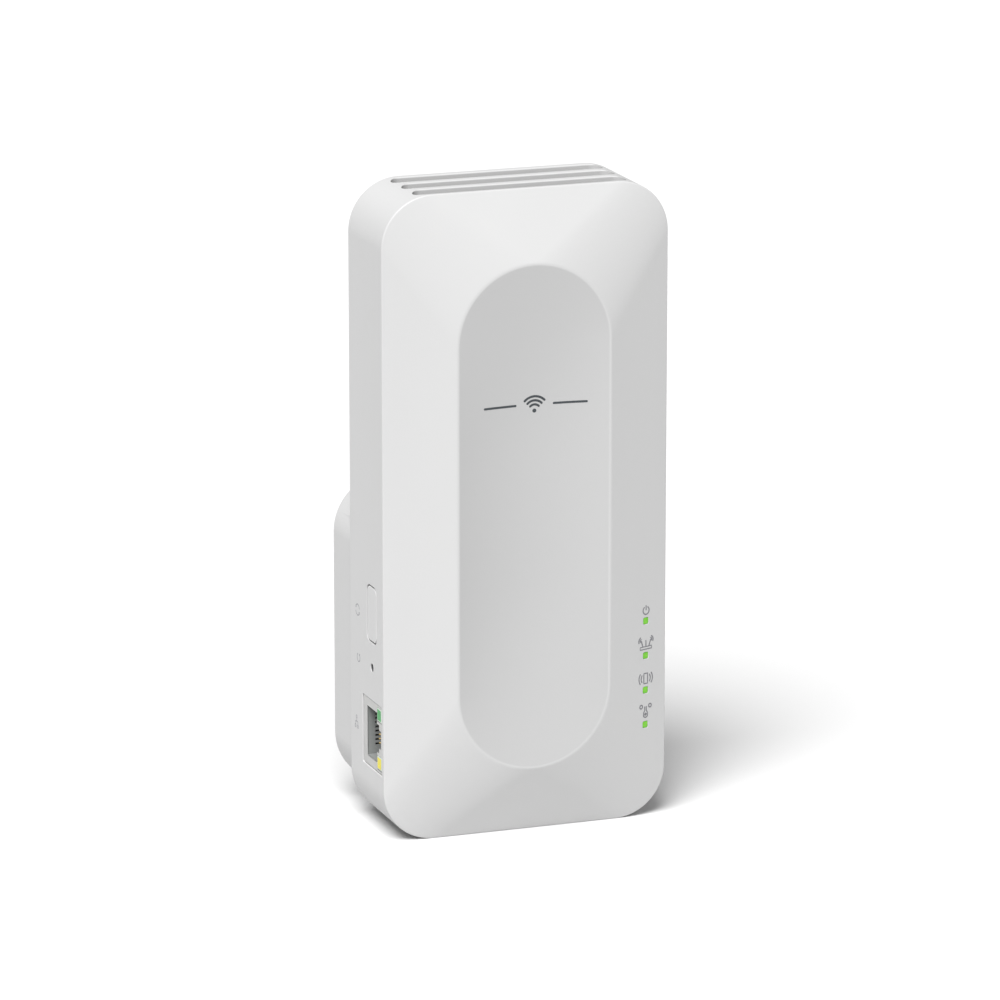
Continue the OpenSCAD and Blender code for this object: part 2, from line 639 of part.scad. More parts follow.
module supply_screws() color("silver") for (p = supply_points)
    translate([p[0], supply_back, p[1]]) mirror([0, 1, 0]) screw(0, 0, 0, board_screw);

// a part standing on the supply board, between two corners in X and Z
module on_supply(x0, z0, x1, z1, h) block([x0, supply_y, z0], [x1, supply_y + h, z1]);

module transformer_winding() color("gold") difference() {
    on_supply(8, -26.8, 20, -11.8, 9.6);
    translate([0, 0, -19.3]) block([11.4, supply_y - 1, -3.1], [16.6, supply_y + 20, 3.1]);
}
module transformer_core() color("dimgray") {
    for (x = [5.6, 20.1]) on_supply(x, -22.3, x + 2.3, -16.3, 10.6);
    block([5.6, supply_y + 9.7, -22.3], [22.4, supply_y + 10.8, -16.3]);
    on_supply(11.5, -22.3, 16.5, -16.3, 10);
}

module bulk_capacitors() color("midnightblue") for (z = [-25.2, -14.8]) difference() {
    bar_x(supply_y + 5, z, 5, -21.5, -6.5);
    translate([-20.7, supply_y + 5, z]) rotate([0, 90, 0]) rotate_extrude() translate([5.1, 0]) circle(0.5);
}
module output_capacitor() color("black") bar_x(supply_y + 4, -2.4, 4, 12, 24);
module fuse() color("saddlebrown") bar_y(0, 12.6, 3.6, supply_y, supply_y + 7.8);
module bridge_rectifier() color("black") on_supply(-24, -5.4, -15, -0.6, 3);
module filter_capacitor() color("gold") on_supply(6, 8, 19, 14.6, 8.6);
module common_mode_choke() color("darkorange") translate([-14, supply_y + 3.5, 10.6]) rotate([90, 0, 0])
    rotate_extrude() translate([3.9, 0]) square([2.6, 7], center = true);
module safety_capacitor() color("steelblue") bar_y(-1.6, -28, 2.7, supply_y, supply_y + 5);
module supply_controller() color("black") on_supply(14, 2.4, 19, 6.6, 1.7);

front_shell();
rear_cover();
cover_screws();
plug_insert();
blade_left();
blade_right();
rating_label();
sync_button();
sync_switch_body();
sync_switch_plunger();
reset_switch_body();
reset_switch_plunger();
switch_brackets();
jack_shield();
jack_housing();
jack_contacts();
jack_light_green();
jack_light_yellow();
light_pipe();
light_gasket();
status_leds();
main_board();
board_screws();
processor_chip();
radio_chip();
memory_chip();
processor_shield();
radio_shield();
processor_pad();
radio_pad();
heatsink();
heatsink_pins();
ethernet_transformer();
power_inductors();
board_capacitors();
antenna_top_left();
antenna_top_right();
antenna_left();
antenna_right();
antenna_pads();
coax_top_left();
coax_top_right();
coax_left();
coax_right();
antenna_sockets();
power_header();
power_header_pins();
insulation_sheet();
supply_board();
supply_screws();
transformer_core();
transformer_winding();
bulk_capacitors();
output_capacitor();
fuse();
bridge_rectifier();
filter_capacitor();
common_mode_choke();
safety_capacitor();
supply_controller();
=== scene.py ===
"""Looks of a wall-plug wifi range extender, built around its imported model."""
import math

import bmesh
import bpy
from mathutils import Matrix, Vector


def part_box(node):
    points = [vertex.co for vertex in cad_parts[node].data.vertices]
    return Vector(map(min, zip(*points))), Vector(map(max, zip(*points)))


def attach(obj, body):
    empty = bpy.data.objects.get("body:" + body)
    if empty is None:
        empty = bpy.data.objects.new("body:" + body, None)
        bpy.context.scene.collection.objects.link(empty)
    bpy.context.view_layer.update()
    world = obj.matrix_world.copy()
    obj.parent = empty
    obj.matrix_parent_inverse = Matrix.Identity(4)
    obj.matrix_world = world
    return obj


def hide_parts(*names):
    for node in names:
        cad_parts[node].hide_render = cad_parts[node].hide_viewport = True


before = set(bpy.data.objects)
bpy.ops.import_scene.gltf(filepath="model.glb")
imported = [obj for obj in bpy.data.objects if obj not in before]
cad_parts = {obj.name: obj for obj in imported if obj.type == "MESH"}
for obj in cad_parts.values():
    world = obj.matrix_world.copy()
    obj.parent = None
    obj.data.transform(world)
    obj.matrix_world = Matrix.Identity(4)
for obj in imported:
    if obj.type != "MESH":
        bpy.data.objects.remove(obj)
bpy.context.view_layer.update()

mm = 0.001

# ---- measures ----

shell_low, shell_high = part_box("front_shell")
BODY_W = shell_high.x - shell_low.x
BODY_H = shell_high.z - shell_low.z
MID_Z = (shell_low.z + shell_high.z) / 2
PAD_Y = shell_low.y
BACK_Y = shell_high.y
DOME = 6 * mm
EDGE_Y = PAD_Y + DOME
WALL = 1.8 * mm
CORNER_R = 12 * mm
PAD_W, PAD_H = 36.7 * mm, 117.6 * mm
DISH = 2.4 * mm
HOLLOW_FADE = 45 * mm
EDGE_SOFT = 0.32 * mm
LIP_SOFT = 0.55 * mm

button_low, button_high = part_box("sync_button")
jack_low, jack_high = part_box("jack_shield")
CONTROL_Y = (jack_low.y + jack_high.y) / 2
SIDE_X = shell_low.x
JACK_Z = (jack_low.z + jack_high.z) / 2
BUTTON_Z = (button_low.z + button_high.z) / 2
RESET_Z = sum(c.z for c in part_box("reset_switch_plunger")) / 2

VENT_COUNT, VENT_L, VENT_W, VENT_PITCH, VENT_FIRST = 3, 51 * mm, 5.2 * mm, 7.4 * mm, 3.9 * mm

LIGHT_COUNT, LIGHT_PITCH, LIGHT_SIZE = 4, 8.25 * mm, 1.6 * mm
pipe_low, pipe_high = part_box("light_pipe")
LIGHT_X = (pipe_low.x + pipe_high.x) / 2
LIGHT_TOP_Z = pipe_high.z - 4 * mm

cover_low, cover_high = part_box("rear_cover")
BLOCK_W = cover_high.x - cover_low.x
BLOCK_H, BLOCK_R, BLOCK_WALL = 74 * mm, 13 * mm, 2.7 * mm
BLOCK_Z = shell_low.z + 3.5 * mm + BLOCK_H / 2
COVER_T = 2 * mm
FIT_GAP = 0.15 * mm
UPPER_SCREWS = [(x * mm, 90 * mm) for x in (-26.5, 26.5)]
LOWER_SCREWS = [(x * mm, -39 * mm) for x in (-26, 26)]

BOARD_SCREWS = [(x * mm, z * mm) for x, z in ((-26.5, 59), (26.5, 59), (-7, -42), (20, -42))]
BOARD_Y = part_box("main_board")[0].y
RAIL_Y = -35 * mm
supply_low, supply_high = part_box("supply_board")
SUPPLY_SCREWS = [(x * (supply_high.x - 4 * mm), z) for x in (-1, 1)
                 for z in (supply_low.z + 4 * mm, supply_high.z - 4 * mm)]

label_low, label_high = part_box("rating_label")
LABEL_W, LABEL_H = label_high.x - label_low.x, label_high.z - label_low.z
LABEL_Z = (label_low.z + label_high.z) / 2

# widths, heights and corner radii on the left side
BUTTON_CAP = 6.3 * mm, 12.7 * mm, 1.5 * mm
BUTTON_FLANGE = 8.8 * mm, 15.2 * mm, 1.6 * mm
BUTTON_CUT = 7.0 * mm, 13.4 * mm, 1.9 * mm
# the ring of painted shade behind the button's gap, outside and inside
GAP_SHADE_OUTSIDE = 6.98 * mm, 13.38 * mm, 1.88 * mm
GAP_SHADE_INSIDE = 6.36 * mm, 12.76 * mm, 1.54 * mm
JACK_CUT = 13.7 * mm, 16.3 * mm, 0.25 * mm
CAP_DEPTH = 2.05 * mm
# the pinhole, the outside and bore of the tube of painted shade in it, and the button's stem
PINHOLE_R, PINHOLE_SHADE_R, PINHOLE_SHADE_BORE_R, STEM_R = 1 * mm, 0.995 * mm, 0.92 * mm, 1.6 * mm

# radii of bosses, posts and holes, and how far pieces reach into each other
COVER_BOSS_R, BOARD_BOSS_R, RAIL_POST_R = 2.9 * mm, 2.5 * mm, 1.1 * mm
CUP_R, UPPER_WELL_R, LOWER_WELL_R = 3.7 * mm, 2.7 * mm, 2.9 * mm
LOWER_POST_R, SUPPLY_POST_R = 4.2 * mm, 2.4 * mm
PILOT_R, COVER_HOLE_R, BOARD_HOLE_R = 1.4 * mm, 1.5 * mm, 1.12 * mm
JOIN = 0.5 * mm


class Plane:
    """A flat place to build on: right and up as seen by someone facing it, and out of it."""

    def __init__(self, origin, right, up):
        self.origin, self.right, self.up = Vector(origin), Vector(right).normalized(), Vector(up).normalized()
        self.out = self.right.cross(self.up)

    def at(self, u, v, height=0.0):
        return self.origin + u * self.right + v * self.up + height * self.out

    def shifted(self, u, v, height=0.0):
        return Plane(self.at(u, v, height), self.right, self.up)


BACK = Plane((0, 0, 0), (-1, 0, 0), (0, 0, 1))
LEFT = Plane((SIDE_X, CONTROL_Y, 0), (0, -1, 0), (0, 0, 1))
TOP = Plane((0, EDGE_Y, shell_high.z), (1, 0, 0), (0, 1, 0))
BOTTOM = Plane((0, EDGE_Y, shell_low.z), (1, 0, 0), (0, -1, 0))
FACET_RIGHT = Plane((BODY_W / 2, EDGE_Y, 0), (BODY_W / 2 - PAD_W / 2, DOME, 0), (0, 0, 1))


# ---- shader maths ----

class Socket:
    """A shader socket that can be added, multiplied and compared as a number."""

    def __init__(self, tree, socket):
        self.tree, self.socket = tree, socket

    def maths(self, operation, *others):
        return add_node(self.tree, "ShaderNodeMath", [self, *others], operation=operation)

    def __add__(self, other): return self.maths("ADD", other)
    def __radd__(self, other): return self.maths("ADD", other)
    def __sub__(self, other): return self.maths("SUBTRACT", other)
    def __rsub__(self, other): return Socket.number(self.tree, other).maths("SUBTRACT", self)
    def __mul__(self, other): return self.maths("MULTIPLY", other)
    def __rmul__(self, other): return self.maths("MULTIPLY", other)
    def __pow__(self, other): return self.maths("POWER", other)

    @staticmethod
    def number(tree, value):
        node = tree.nodes.new("ShaderNodeValue")
        node.outputs[0].default_value = value
        return Socket(tree, node.outputs[0])

    def between(self, low, high):
        """0 below low, 1 above high, smooth in between."""
        return add_node(self.tree, "ShaderNodeMapRange", [self, low, high, 0.0, 1.0],
                        interpolation_type="SMOOTHSTEP")


def add_node(tree, kind, inputs=(), output=0, **settings):
    """Adds one node: its settings first, then the values or links of its sockets."""
    node = tree.nodes.new(kind)
    for key, value in settings.items():
        setattr(node, key, value)
    pairs = inputs.items() if isinstance(inputs, dict) else enumerate(inputs)
    for key, value in pairs:
        if isinstance(value, Socket):
            tree.links.new(value.socket, node.inputs[key])
        elif value is not None:
            node.inputs[key].default_value = value
    return Socket(tree, node.outputs[output])


def mix_colour(tree, factor, first, second):
    node = tree.nodes.new("ShaderNodeMix")
    node.data_type = "RGBA"
    for index, value in ((0, factor), (6, first), (7, second)):
        if isinstance(value, Socket):
            tree.links.new(value.socket, node.inputs[index])
        else:
            node.inputs[index].default_value = value if index == 0 else (*value, 1.0)
    return Socket(tree, node.outputs[2])


class Finish:
    """One material: a Principled surface whose inputs are set or linked by name."""

    def __init__(self, name):
        self.material = bpy.data.materials.new(name)
        self.material.use_nodes = True
        self.tree = self.material.node_tree
        self.tree.nodes.clear()
        self.surface = self.tree.nodes.new("ShaderNodeBsdfPrincipled")
        output = self.tree.nodes.new("ShaderNodeOutputMaterial")
        self.tree.links.new(self.surface.outputs[0], output.inputs["Surface"])
        self.place = add_node(self.tree, "ShaderNodeTexCoord", output=3)

    def noise(self, per_metre, detail=3.0, stretch=None):
        where = self.place
        if stretch:
            where = add_node(self.tree, "ShaderNodeMapping", {"Vector": self.place, "Scale": stretch})
        return add_node(self.tree, "ShaderNodeTexNoise",
                        {"Vector": where, "Scale": per_metre, "Detail": detail, "Roughness": 0.55})

    def cells(self, per_metre):
        return add_node(self.tree, "ShaderNodeTexVoronoi", {"Vector": self.place, "Scale": per_metre})

    def axis(self, index):
        """The place along X, Y or Z."""
        return add_node(self.tree, "ShaderNodeSeparateXYZ", [self.place], output=index)

    def bump(self, height, depth):
        bump = add_node(self.tree, "ShaderNodeBump", {"Strength": 1.0, "Distance": depth, "Height": height})
        self.tree.links.new(bump.socket, self.surface.inputs["Normal"])

    def set(self, **inputs):
        for key, value in inputs.items():
            socket = self.surface.inputs[key.replace("_", " ")]
            if isinstance(value, Socket):
                self.tree.links.new(value.socket, socket)
            elif isinstance(value, tuple) and len(value) == 3:
                socket.default_value = (*value, 1.0)
            else:
                socket.default_value = value
        return self.material


def pad_mask(f):
    """1 on the hollow pad of the front, 0 outside it: where the white gets painted shade."""
    x, y, z = (f.axis(k) for k in range(3))
    past_end = ((z - MID_Z).maths("ABSOLUTE") - (PAD_H - PAD_W) / 2).maths("MAXIMUM", 0.0)
    from_middle = (x * x + past_end * past_end) ** 0.5
    edge = PAD_W / 2 - 0.1 * mm
    inside = 1 - from_middle.between(edge - 0.5 * mm, edge)
    return inside * (1 - y.between(PAD_Y + DISH + 0.1 * mm, PAD_Y + DISH + 0.3 * mm))


def scaled(colour, factor):
    return tuple(c * factor for c in colour)


def moulded_plastic(name, colour, rough=0.42, grain=2600, grain_depth=0.012, scuffs=0.04, pad_painted_shade=0.0):
    """Injection-moulded plastic: spark-eroded grain, faint flow marks and handling scuffs; a pad factor
    darkens the hollow pad of the front as painted shade.
    """
    f = Finish(name)
    flow = f.noise(22, 2.0, stretch=(1.0, 1.0, 0.35))
    fine = f.noise(grain, 2.0)
    pits = f.cells(grain * 0.8)
    smudge = f.noise(130, 5.0).between(0.56, 0.72)
    scratch = f.noise(420, 4.0, stretch=(1.0, 0.12, 0.12)).between(0.66, 0.74)
    warmer = (colour[0], colour[1] * 0.992, colour[2] * 0.975)
    tone = mix_colour(f.tree, flow.between(0.35, 0.7) * 0.5, colour, scaled(colour, 0.965))
    tone = mix_colour(f.tree, smudge * scuffs * 4, tone, warmer)
    # painted shade: the hollow pad of the front is darkened by the pad factor
    if pad_painted_shade:
        tone = mix_colour(f.tree, pad_mask(f), tone, scaled(colour, pad_painted_shade))
    f.bump(fine * 0.6 + pits * 0.4, grain_depth * mm)
    return f.set(Base_Color=tone, Roughness=rough + flow * 0.06 + smudge * 0.05 - scratch * scuffs, IOR=1.49)


def metal(name, colour, rough=0.28, grain=900, along=(1.0, 1.0, 0.06), tarnish=0.12, depth=0.004):
    """Rolled or plated metal: drawn grain along one direction, tarnish in patches."""
    f = Finish(name)
    drawn = f.noise(grain, 4.0, stretch=along)
    patches = f.noise(140, 4.0).between(0.45, 0.75)
    f.bump(drawn, depth * mm)
    return f.set(Base_Color=mix_colour(f.tree, patches, colour, scaled(colour, 1 - tarnish)), Metallic=1.0,
                 Roughness=rough + drawn * 0.1 + patches * 0.1)


def glowing(name, lit, core, strength, node):
    """Tinted clear plastic with a lamp behind it, pale round the node's edge."""
    f = Finish(name)
    swirl = f.noise(900, 2.0)
    tone = mix_colour(f.tree, swirl.between(0.3, 0.75), lit, core)
    low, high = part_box(node)
    across = (f.axis(1) - (low.y + high.y) / 2).maths("ABSOLUTE")
    up = (f.axis(2) - (low.z + high.z) / 2).maths("ABSOLUTE")
    rim = across.maths("MAXIMUM", up).between(1.2 * mm, 1.35 * mm)
    tone = mix_colour(f.tree, rim, tone, (0.5, 0.56, 0.5))
    f.bump(swirl, 0.01 * mm)
    return f.set(Base_Color=tone, Roughness=0.2 + swirl * 0.1,
                 Emission_Color=tone, Emission_Strength=strength)


def light_guide(name, lit, core, clear):
    """Clear plastic rods that shine green only at their front ends."""
    f = Finish(name)
    swirl = f.noise(900, 2.0)
    green = mix_colour(f.tree, swirl.between(0.3, 0.75), lit, core)
    behind = f.axis(1).between(EDGE_Y - 0.8 * mm, EDGE_Y + 1 * mm)
    glow = mix_colour(f.tree, behind, green, (0.004, 0.01, 0.002))
    f.bump(swirl, 0.01 * mm)
    return f.set(Base_Color=mix_colour(f.tree, behind, green, clear), Roughness=0.16 + swirl * 0.1,
                 Emission_Color=glow, Emission_Strength=0.14)


def ink(name, colour):
    """Printed ink, a little uneven."""
    f = Finish(name)
    patchy = f.noise(3000, 3.0)
    f.bump(patchy, 0.004 * mm)
    tone = mix_colour(f.tree, patchy.between(0.3, 0.8), colour, scaled(colour, 1.25))
    return f.set(Base_Color=tone, Roughness=0.5 + patchy * 0.1)


def board(name, mask, copper):
    """Printed board: solder mask over copper areas and tracks, with plated holes."""
    f = Finish(name)
    pour = f.noise(55, 0.0).between(0.47, 0.49)
    flat = add_node(f.tree, "ShaderNodeMapping", {"Vector": f.place, "Rotation": (math.radians(90), 0, 0)})
    grid = {"Vector": flat, "Scale": 300.0, "Mortar Size": 0.12}
    tracks = add_node(f.tree, "ShaderNodeTexBrick", grid, output=1)
    holes = 1 - f.cells(420).between(0.14, 0.2)
    raised = (pour * 0.6).maths("MAXIMUM", tracks * (1 - pour))
    tone = mix_colour(f.tree, raised, mask, copper)
    tone = mix_colour(f.tree, holes, tone, (0.55, 0.52, 0.4))
    f.bump(raised * 0.7 + f.noise(3000, 2.0) * 0.2 - holes * 0.6, 0.03 * mm)
    return f.set(Base_Color=tone, Roughness=0.34 + raised * 0.08 + f.noise(200) * 0.08)


def wound(name, colour, dark, turns_per_metre, axis):
    """Layers of tape or wire round a former: fine ridges along one axis, with painted shade in the grooves
    between them.
    """
    f = Finish(name)
    ridge = (f.axis(axis) * (turns_per_metre * 2 * math.pi) + f.noise(300) * 1.5).maths("SINE") * 0.5 + 0.5
    f.bump(ridge, 0.05 * mm)
    # painted shade: the colour goes to the dark one in the grooves between turns
    return f.set(Base_Color=mix_colour(f.tree, ridge, dark, colour), Roughness=0.3 + ridge * 0.12)


def soft_rubber(name, colour, rough=0.75, grain=1500, depth=0.05):
    """Foam, rubber or a cable's jacket, with some dust."""
    f = Finish(name)
    foam = f.cells(grain)
    dust = f.noise(500, 5.0).between(0.55, 0.8)
    f.bump(foam, depth * mm)
    return f.set(Base_Color=mix_colour(f.tree, dust * 0.4, colour, (0.3, 0.29, 0.28)),
                 Roughness=rough + dust * 0.1)


WHITE = (0.60, 0.60, 0.60)
finishes = {
    # the shell's hollow pad gets painted shade, 0.855 of the white
    "shell_white": moulded_plastic("white_shell", WHITE, pad_painted_shade=0.855),
    "button_white": moulded_plastic("white_button", (0.61, 0.61, 0.61), rough=0.36, grain_depth=0.006),
    "plug_white": moulded_plastic("white_block", (0.59, 0.59, 0.59), rough=0.5, grain_depth=0.02),
    "insert_white": moulded_plastic("white_insert", (0.54, 0.545, 0.55), rough=0.3, grain_depth=0.006),
    "label_film": moulded_plastic("label_film", (0.46, 0.465, 0.47), rough=0.33, grain=4000,
                                  grain_depth=0.003),
    "blade_nickel": metal("nickel_blade", (0.72, 0.69, 0.63), rough=0.22, along=(1.0, 0.05, 1.0)),
    "screw_steel": metal("zinc_screw", (0.62, 0.62, 0.63), rough=0.3, along=(1.0, 1.0, 1.0)),
    "tinplate": metal("tin_plate", (0.68, 0.68, 0.66), rough=0.3, along=(0.05, 1.0, 1.0)),
    "jack_metal": metal("jack_nickel", (0.69, 0.69, 0.68), rough=0.36, along=(1.0, 1.0, 0.06), tarnish=0.06),
    "jack_grey": moulded_plastic("jack_grey", (0.26, 0.27, 0.265), rough=0.5, scuffs=0.02),
    "contact_gold": metal("gold_contact", (0.95, 0.70, 0.30), rough=0.2, along=(0.06, 1.0, 1.0)),
    "gasket_black": soft_rubber("gasket_foam", (0.02, 0.02, 0.02)),
    "led_package": moulded_plastic("lamp_package", (0.72, 0.68, 0.5), rough=0.25),
    "board_green": board("green_board", (0.008, 0.09, 0.03), (0.02, 0.2, 0.07)),
    "chip_black": moulded_plastic("chip_black", (0.018, 0.018, 0.02), rough=0.45, grain=5000, scuffs=0.02),
    "pad_blue": soft_rubber("thermal_pad", (0.22, 0.33, 0.5), rough=0.6),
    "fin_aluminium": metal("fin_aluminium", (0.78, 0.79, 0.80), rough=0.32, along=(1.0, 1.0, 0.04)),
    "pin_black": moulded_plastic("black_nylon", (0.025, 0.025, 0.025), rough=0.4, grain=3500, scuffs=0.02),
    "capacitor_can": metal("capacitor_can", (0.76, 0.77, 0.78), rough=0.25, along=(1.0, 0.1, 1.0)),
    "antenna_board": board("antenna_board", (0.006, 0.055, 0.03), (0.5, 0.3, 0.1)),
    "foam_grey": soft_rubber("grey_foam", (0.1, 0.1, 0.105)),
    "cable_black": soft_rubber("cable_jacket", (0.02, 0.02, 0.02), rough=0.5, grain=4000, depth=0.01),
    "sheet_milky": moulded_plastic("milky_sheet", (0.72, 0.72, 0.66), rough=0.2, grain=1500,
                                   grain_depth=0.004),
    "board_tan": board("tan_board", (0.30, 0.17, 0.06), (0.42, 0.27, 0.1)),
    "ferrite_grey": moulded_plastic("ferrite", (0.04, 0.04, 0.042), rough=0.6, grain=3000, grain_depth=0.04),
    "tape_yellow": wound("yellow_tape", (0.75, 0.48, 0.03), (0.45, 0.26, 0.01), 400, 2),
    "sleeve_blue": moulded_plastic("blue_sleeve", (0.01, 0.02, 0.1), rough=0.22, grain=800),
    "sleeve_black": moulded_plastic("black_sleeve", (0.012, 0.012, 0.016), rough=0.22, grain=800),
    "fuse_brown": moulded_plastic("fuse_brown", (0.09, 0.025, 0.01), rough=0.35, grain=1500),
    "film_yellow": moulded_plastic("film_yellow", (0.75, 0.45, 0.03), rough=0.3, grain=1500),
    "coil_copper": wound("enamelled_wire", (0.62, 0.2, 0.05), (0.16, 0.04, 0.01), 1800, 0),
    "disc_blue": moulded_plastic("dipped_disc", (0.02, 0.09, 0.3), rough=0.2, grain=500, grain_depth=0.05),
    "switch_black": moulded_plastic("switch_black", (0.02, 0.02, 0.02), rough=0.45, grain=3000, scuffs=0.02),
    "pipe_clear": light_guide("status_green", (0.20, 0.58, 0.04), (0.12, 0.44, 0.02), (0.55, 0.6, 0.55)),
    "light_green": glowing("link_green", (0.006, 0.30, 0.05), (0.004, 0.22, 0.035), 0.2, "jack_light_green"),
    "light_yellow": glowing("link_yellow", (0.74, 0.64, 0.003), (0.66, 0.55, 0.003), 0.1,
                            "jack_light_yellow"),
}
print_grey = ink("grey_print", (0.27, 0.27, 0.29))
symbol_grey = ink("symbol_print", (0.19, 0.19, 0.205))
emblem_grey = ink("dark_grey_print", (0.045, 0.052, 0.058))
SYMBOL_STROKE = 0.3  # millimetres, as all measures of printed marks


# ---- mesh making ----

SHARP_ANGLE = 32
CUT_CLEARANCE = 0.3 * mm


def rounded_rectangle(w, h, r, steps=6, side_steps=1):
    """An outline as a function of how far it is grown. All its rings have the same points."""
    def ring(grow=0.0):
        points = []
        radius = max(r + grow, 0.0)
        for quarter, (sx, sy) in enumerate(((1, 1), (-1, 1), (-1, -1), (1, -1))):
            cx, cy = sx * (w / 2 + grow - radius), sy * (h / 2 + grow - radius)
            for step in range(steps + 1):
                angle = math.radians(90 * (quarter + step / steps))
                points.append((cx + radius * math.cos(angle), cy + radius * math.sin(angle)))
            if sx * sy < 0:
                points += [(points[-1][0], cy * (1 - 2 * k / side_steps)) for k in range(1, side_steps)]
        return points
    return ring


def circle(radius, steps):
    return rounded_rectangle(2 * radius, 2 * radius, radius, steps)


def quarter_turn(steps):
    return [math.pi / 2 * k / steps for k in range(steps + 1)]


def straight(height):
    """Levels (grow, height) of a slab with plain edges."""
    return [(0, 0), (0, height)]


def rounded_edge(thickness, radius, steps=4):
    """Levels of a slab whose outer edge is rounded."""
    return [(0.0, 0.0)] + [(-radius * (1 - math.cos(a)), thickness - radius * (1 - math.sin(a)))
                           for a in quarter_turn(steps)]


def flared(depth, radius, steps=4):
    """Levels of a cutter that goes in to depth and rounds the edge that it leaves."""
    rounding = [(radius * (1 - math.cos(a)), -radius * (1 - math.sin(a))) for a in quarter_turn(steps)]
    return [(0.0, -depth), *rounding, (radius, CUT_CLEARANCE)]


def add_object(name, data):
    obj = bpy.data.objects.new(name, data)
    bpy.context.scene.collection.objects.link(obj)
    return obj


def mesh_object(name, bm):
    """Turns a finished bmesh into an object."""
    mesh = bpy.data.meshes.new(name)
    bm.to_mesh(mesh)
    bm.free()
    return add_object(name, mesh)


def apply_modifiers(obj):
    plain = bpy.data.meshes.new_from_object(obj.evaluated_get(bpy.context.evaluated_depsgraph_get()))
    obj.modifiers.clear()
    obj.data = plain


def new_mesh(name, verts, faces):
    mesh = bpy.data.meshes.new(name)
    mesh.from_pydata([tuple(v) for v in verts], [], faces)
    obj = add_object(name, mesh)
    weld(mesh)
    return obj


def weld(mesh, distance=0.001 * mm):
    """Merges doubles and turns every face outwards."""
    bm = bmesh.new()
    bm.from_mesh(mesh)
    bmesh.ops.remove_doubles(bm, verts=bm.verts, dist=distance)
    bmesh.ops.dissolve_degenerate(bm, edges=bm.edges, dist=distance)
    bmesh.ops.recalc_face_normals(bm, faces=bm.faces)
    bm.to_mesh(mesh)
    bm.free()


def loft(name, rings, capped=True):
    """A skin over rings of equal length, closed at both ends unless the rings join up by themselves."""
    count = len(rings[0])
    verts = [p for ring in rings for p in ring]
    starts = [k * count for k in range(len(rings) - 1)]
    faces = [(a + i, a + (i + 1) % count, a + count + (i + 1) % count, a + count + i)
             for a in starts for i in range(count)]
    if capped:
        faces.append(tuple(reversed(range(count))))
        faces.append(tuple(range((len(rings) - 1) * count, len(rings) * count)))
    return new_mesh(name, verts, faces)


def slab(name, plane, outline, levels):
    """A solid on a plane: its outline, grown and lifted by each level in turn."""
    return loft(name, [[plane.at(u, v, height) for u, v in outline(grow)] for grow, height in levels])


def combine(target, tools, operation="DIFFERENCE"):
    """Cuts tools from a solid or joins them to it, and removes the tools."""
    for tool in tools:
        modifier = target.modifiers.new("combine", "BOOLEAN")
        modifier.operation, modifier.object, modifier.solver = operation, tool, "MANIFOLD"
        apply_modifiers(target)
        bpy.data.objects.remove(tool)
    return target


def shade(obj):
    """Smooth inside curved stretches, flat on large faces, crisp where the surface turns sharply."""
    obj.data.shade_smooth()
    obj.data.set_sharp_from_angle(angle=math.radians(SHARP_ANGLE))
    modifier = obj.modifiers.new("even_shading", "WEIGHTED_NORMAL")
    modifier.mode, modifier.weight, modifier.keep_sharp = "FACE_AREA", 100, True
    apply_modifiers(obj)


def finish_piece(obj, slot, body="housing", stands_for=(), finish=None):
    """Gives a finished mesh its material and body, and hides the parts that it stands for."""
    weld(obj.data)
    obj.data.materials.clear()
    obj.data.materials.append(finish or finishes[slot])
    shade(obj)
    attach(obj, body)
    if stands_for:
        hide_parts(*stands_for)
    return obj


def facing_wall(x, z, y):
    return Plane((x, y, z), (-1, 0, 0), (0, 0, 1))


def round_bar(x, z, radius, y0, y1, soft=0.0):
    """A bar along Y. A soft radius rounds its wall side, a negative one flares it."""
    if soft < 0:
        levels = flared(y1 - y0, -soft)
    else:
        levels = rounded_edge(y1 - y0, soft) if soft else straight(y1 - y0)
    place = facing_wall(x, z, y1 if soft < 0 else y0)
    return slab("bar", place, circle(radius, 8), levels)


# ---- geometry nodes: what repeats ----

def repeater(name, build, sizes):
    """A node group that repeats the mesh it is given. sizes are its named inputs and their types."""
    tree = bpy.data.node_groups.new(name, "GeometryNodeTree")
    tree.interface.new_socket("Geometry", in_out="INPUT", socket_type="NodeSocketGeometry")
    for label, kind in sizes.items():
        tree.interface.new_socket(label, in_out="INPUT", socket_type=kind)
    tree.interface.new_socket("Geometry", in_out="OUTPUT", socket_type="NodeSocketGeometry")
    given = tree.nodes.new("NodeGroupInput")
    result = tree.nodes.new("NodeGroupOutput")
    inputs = {label: Socket(tree, given.outputs[label]) for label in ["Geometry", *sizes]}
    points = build(tree, inputs)
    copies = add_node(tree, "GeometryNodeInstanceOnPoints",
                      {"Points": points, "Instance": inputs["Geometry"]})
    plain = add_node(tree, "GeometryNodeRealizeInstances", {"Geometry": copies})
    painted = add_node(tree, "GeometryNodeSetMaterial", {"Geometry": plain, "Material": inputs["Finish"]})
    tree.links.new(painted.socket, result.inputs[0])
    return tree


def line_of_points(tree, inputs):
    sizes = {"Count": inputs["Count"], "Offset": inputs["Step"]}
    return add_node(tree, "GeometryNodeMeshLine", sizes, mode="OFFSET")


row = repeater("row", line_of_points,
               {"Count": "NodeSocketInt", "Step": "NodeSocketVector", "Finish": "NodeSocketMaterial"})


def repeat(obj, group, values):
    """Runs a node group on an object, its inputs given by name, and keeps the plain mesh that it makes."""
    modifier = obj.modifiers.new(group.name, "NODES")
    modifier.node_group = group
    for item in group.interface.items_tree:
        if item.in_out == "INPUT" and item.name in values:
            modifier[item.identifier] = values[item.name]
    apply_modifiers(obj)
    return obj


# ---- front shell ----

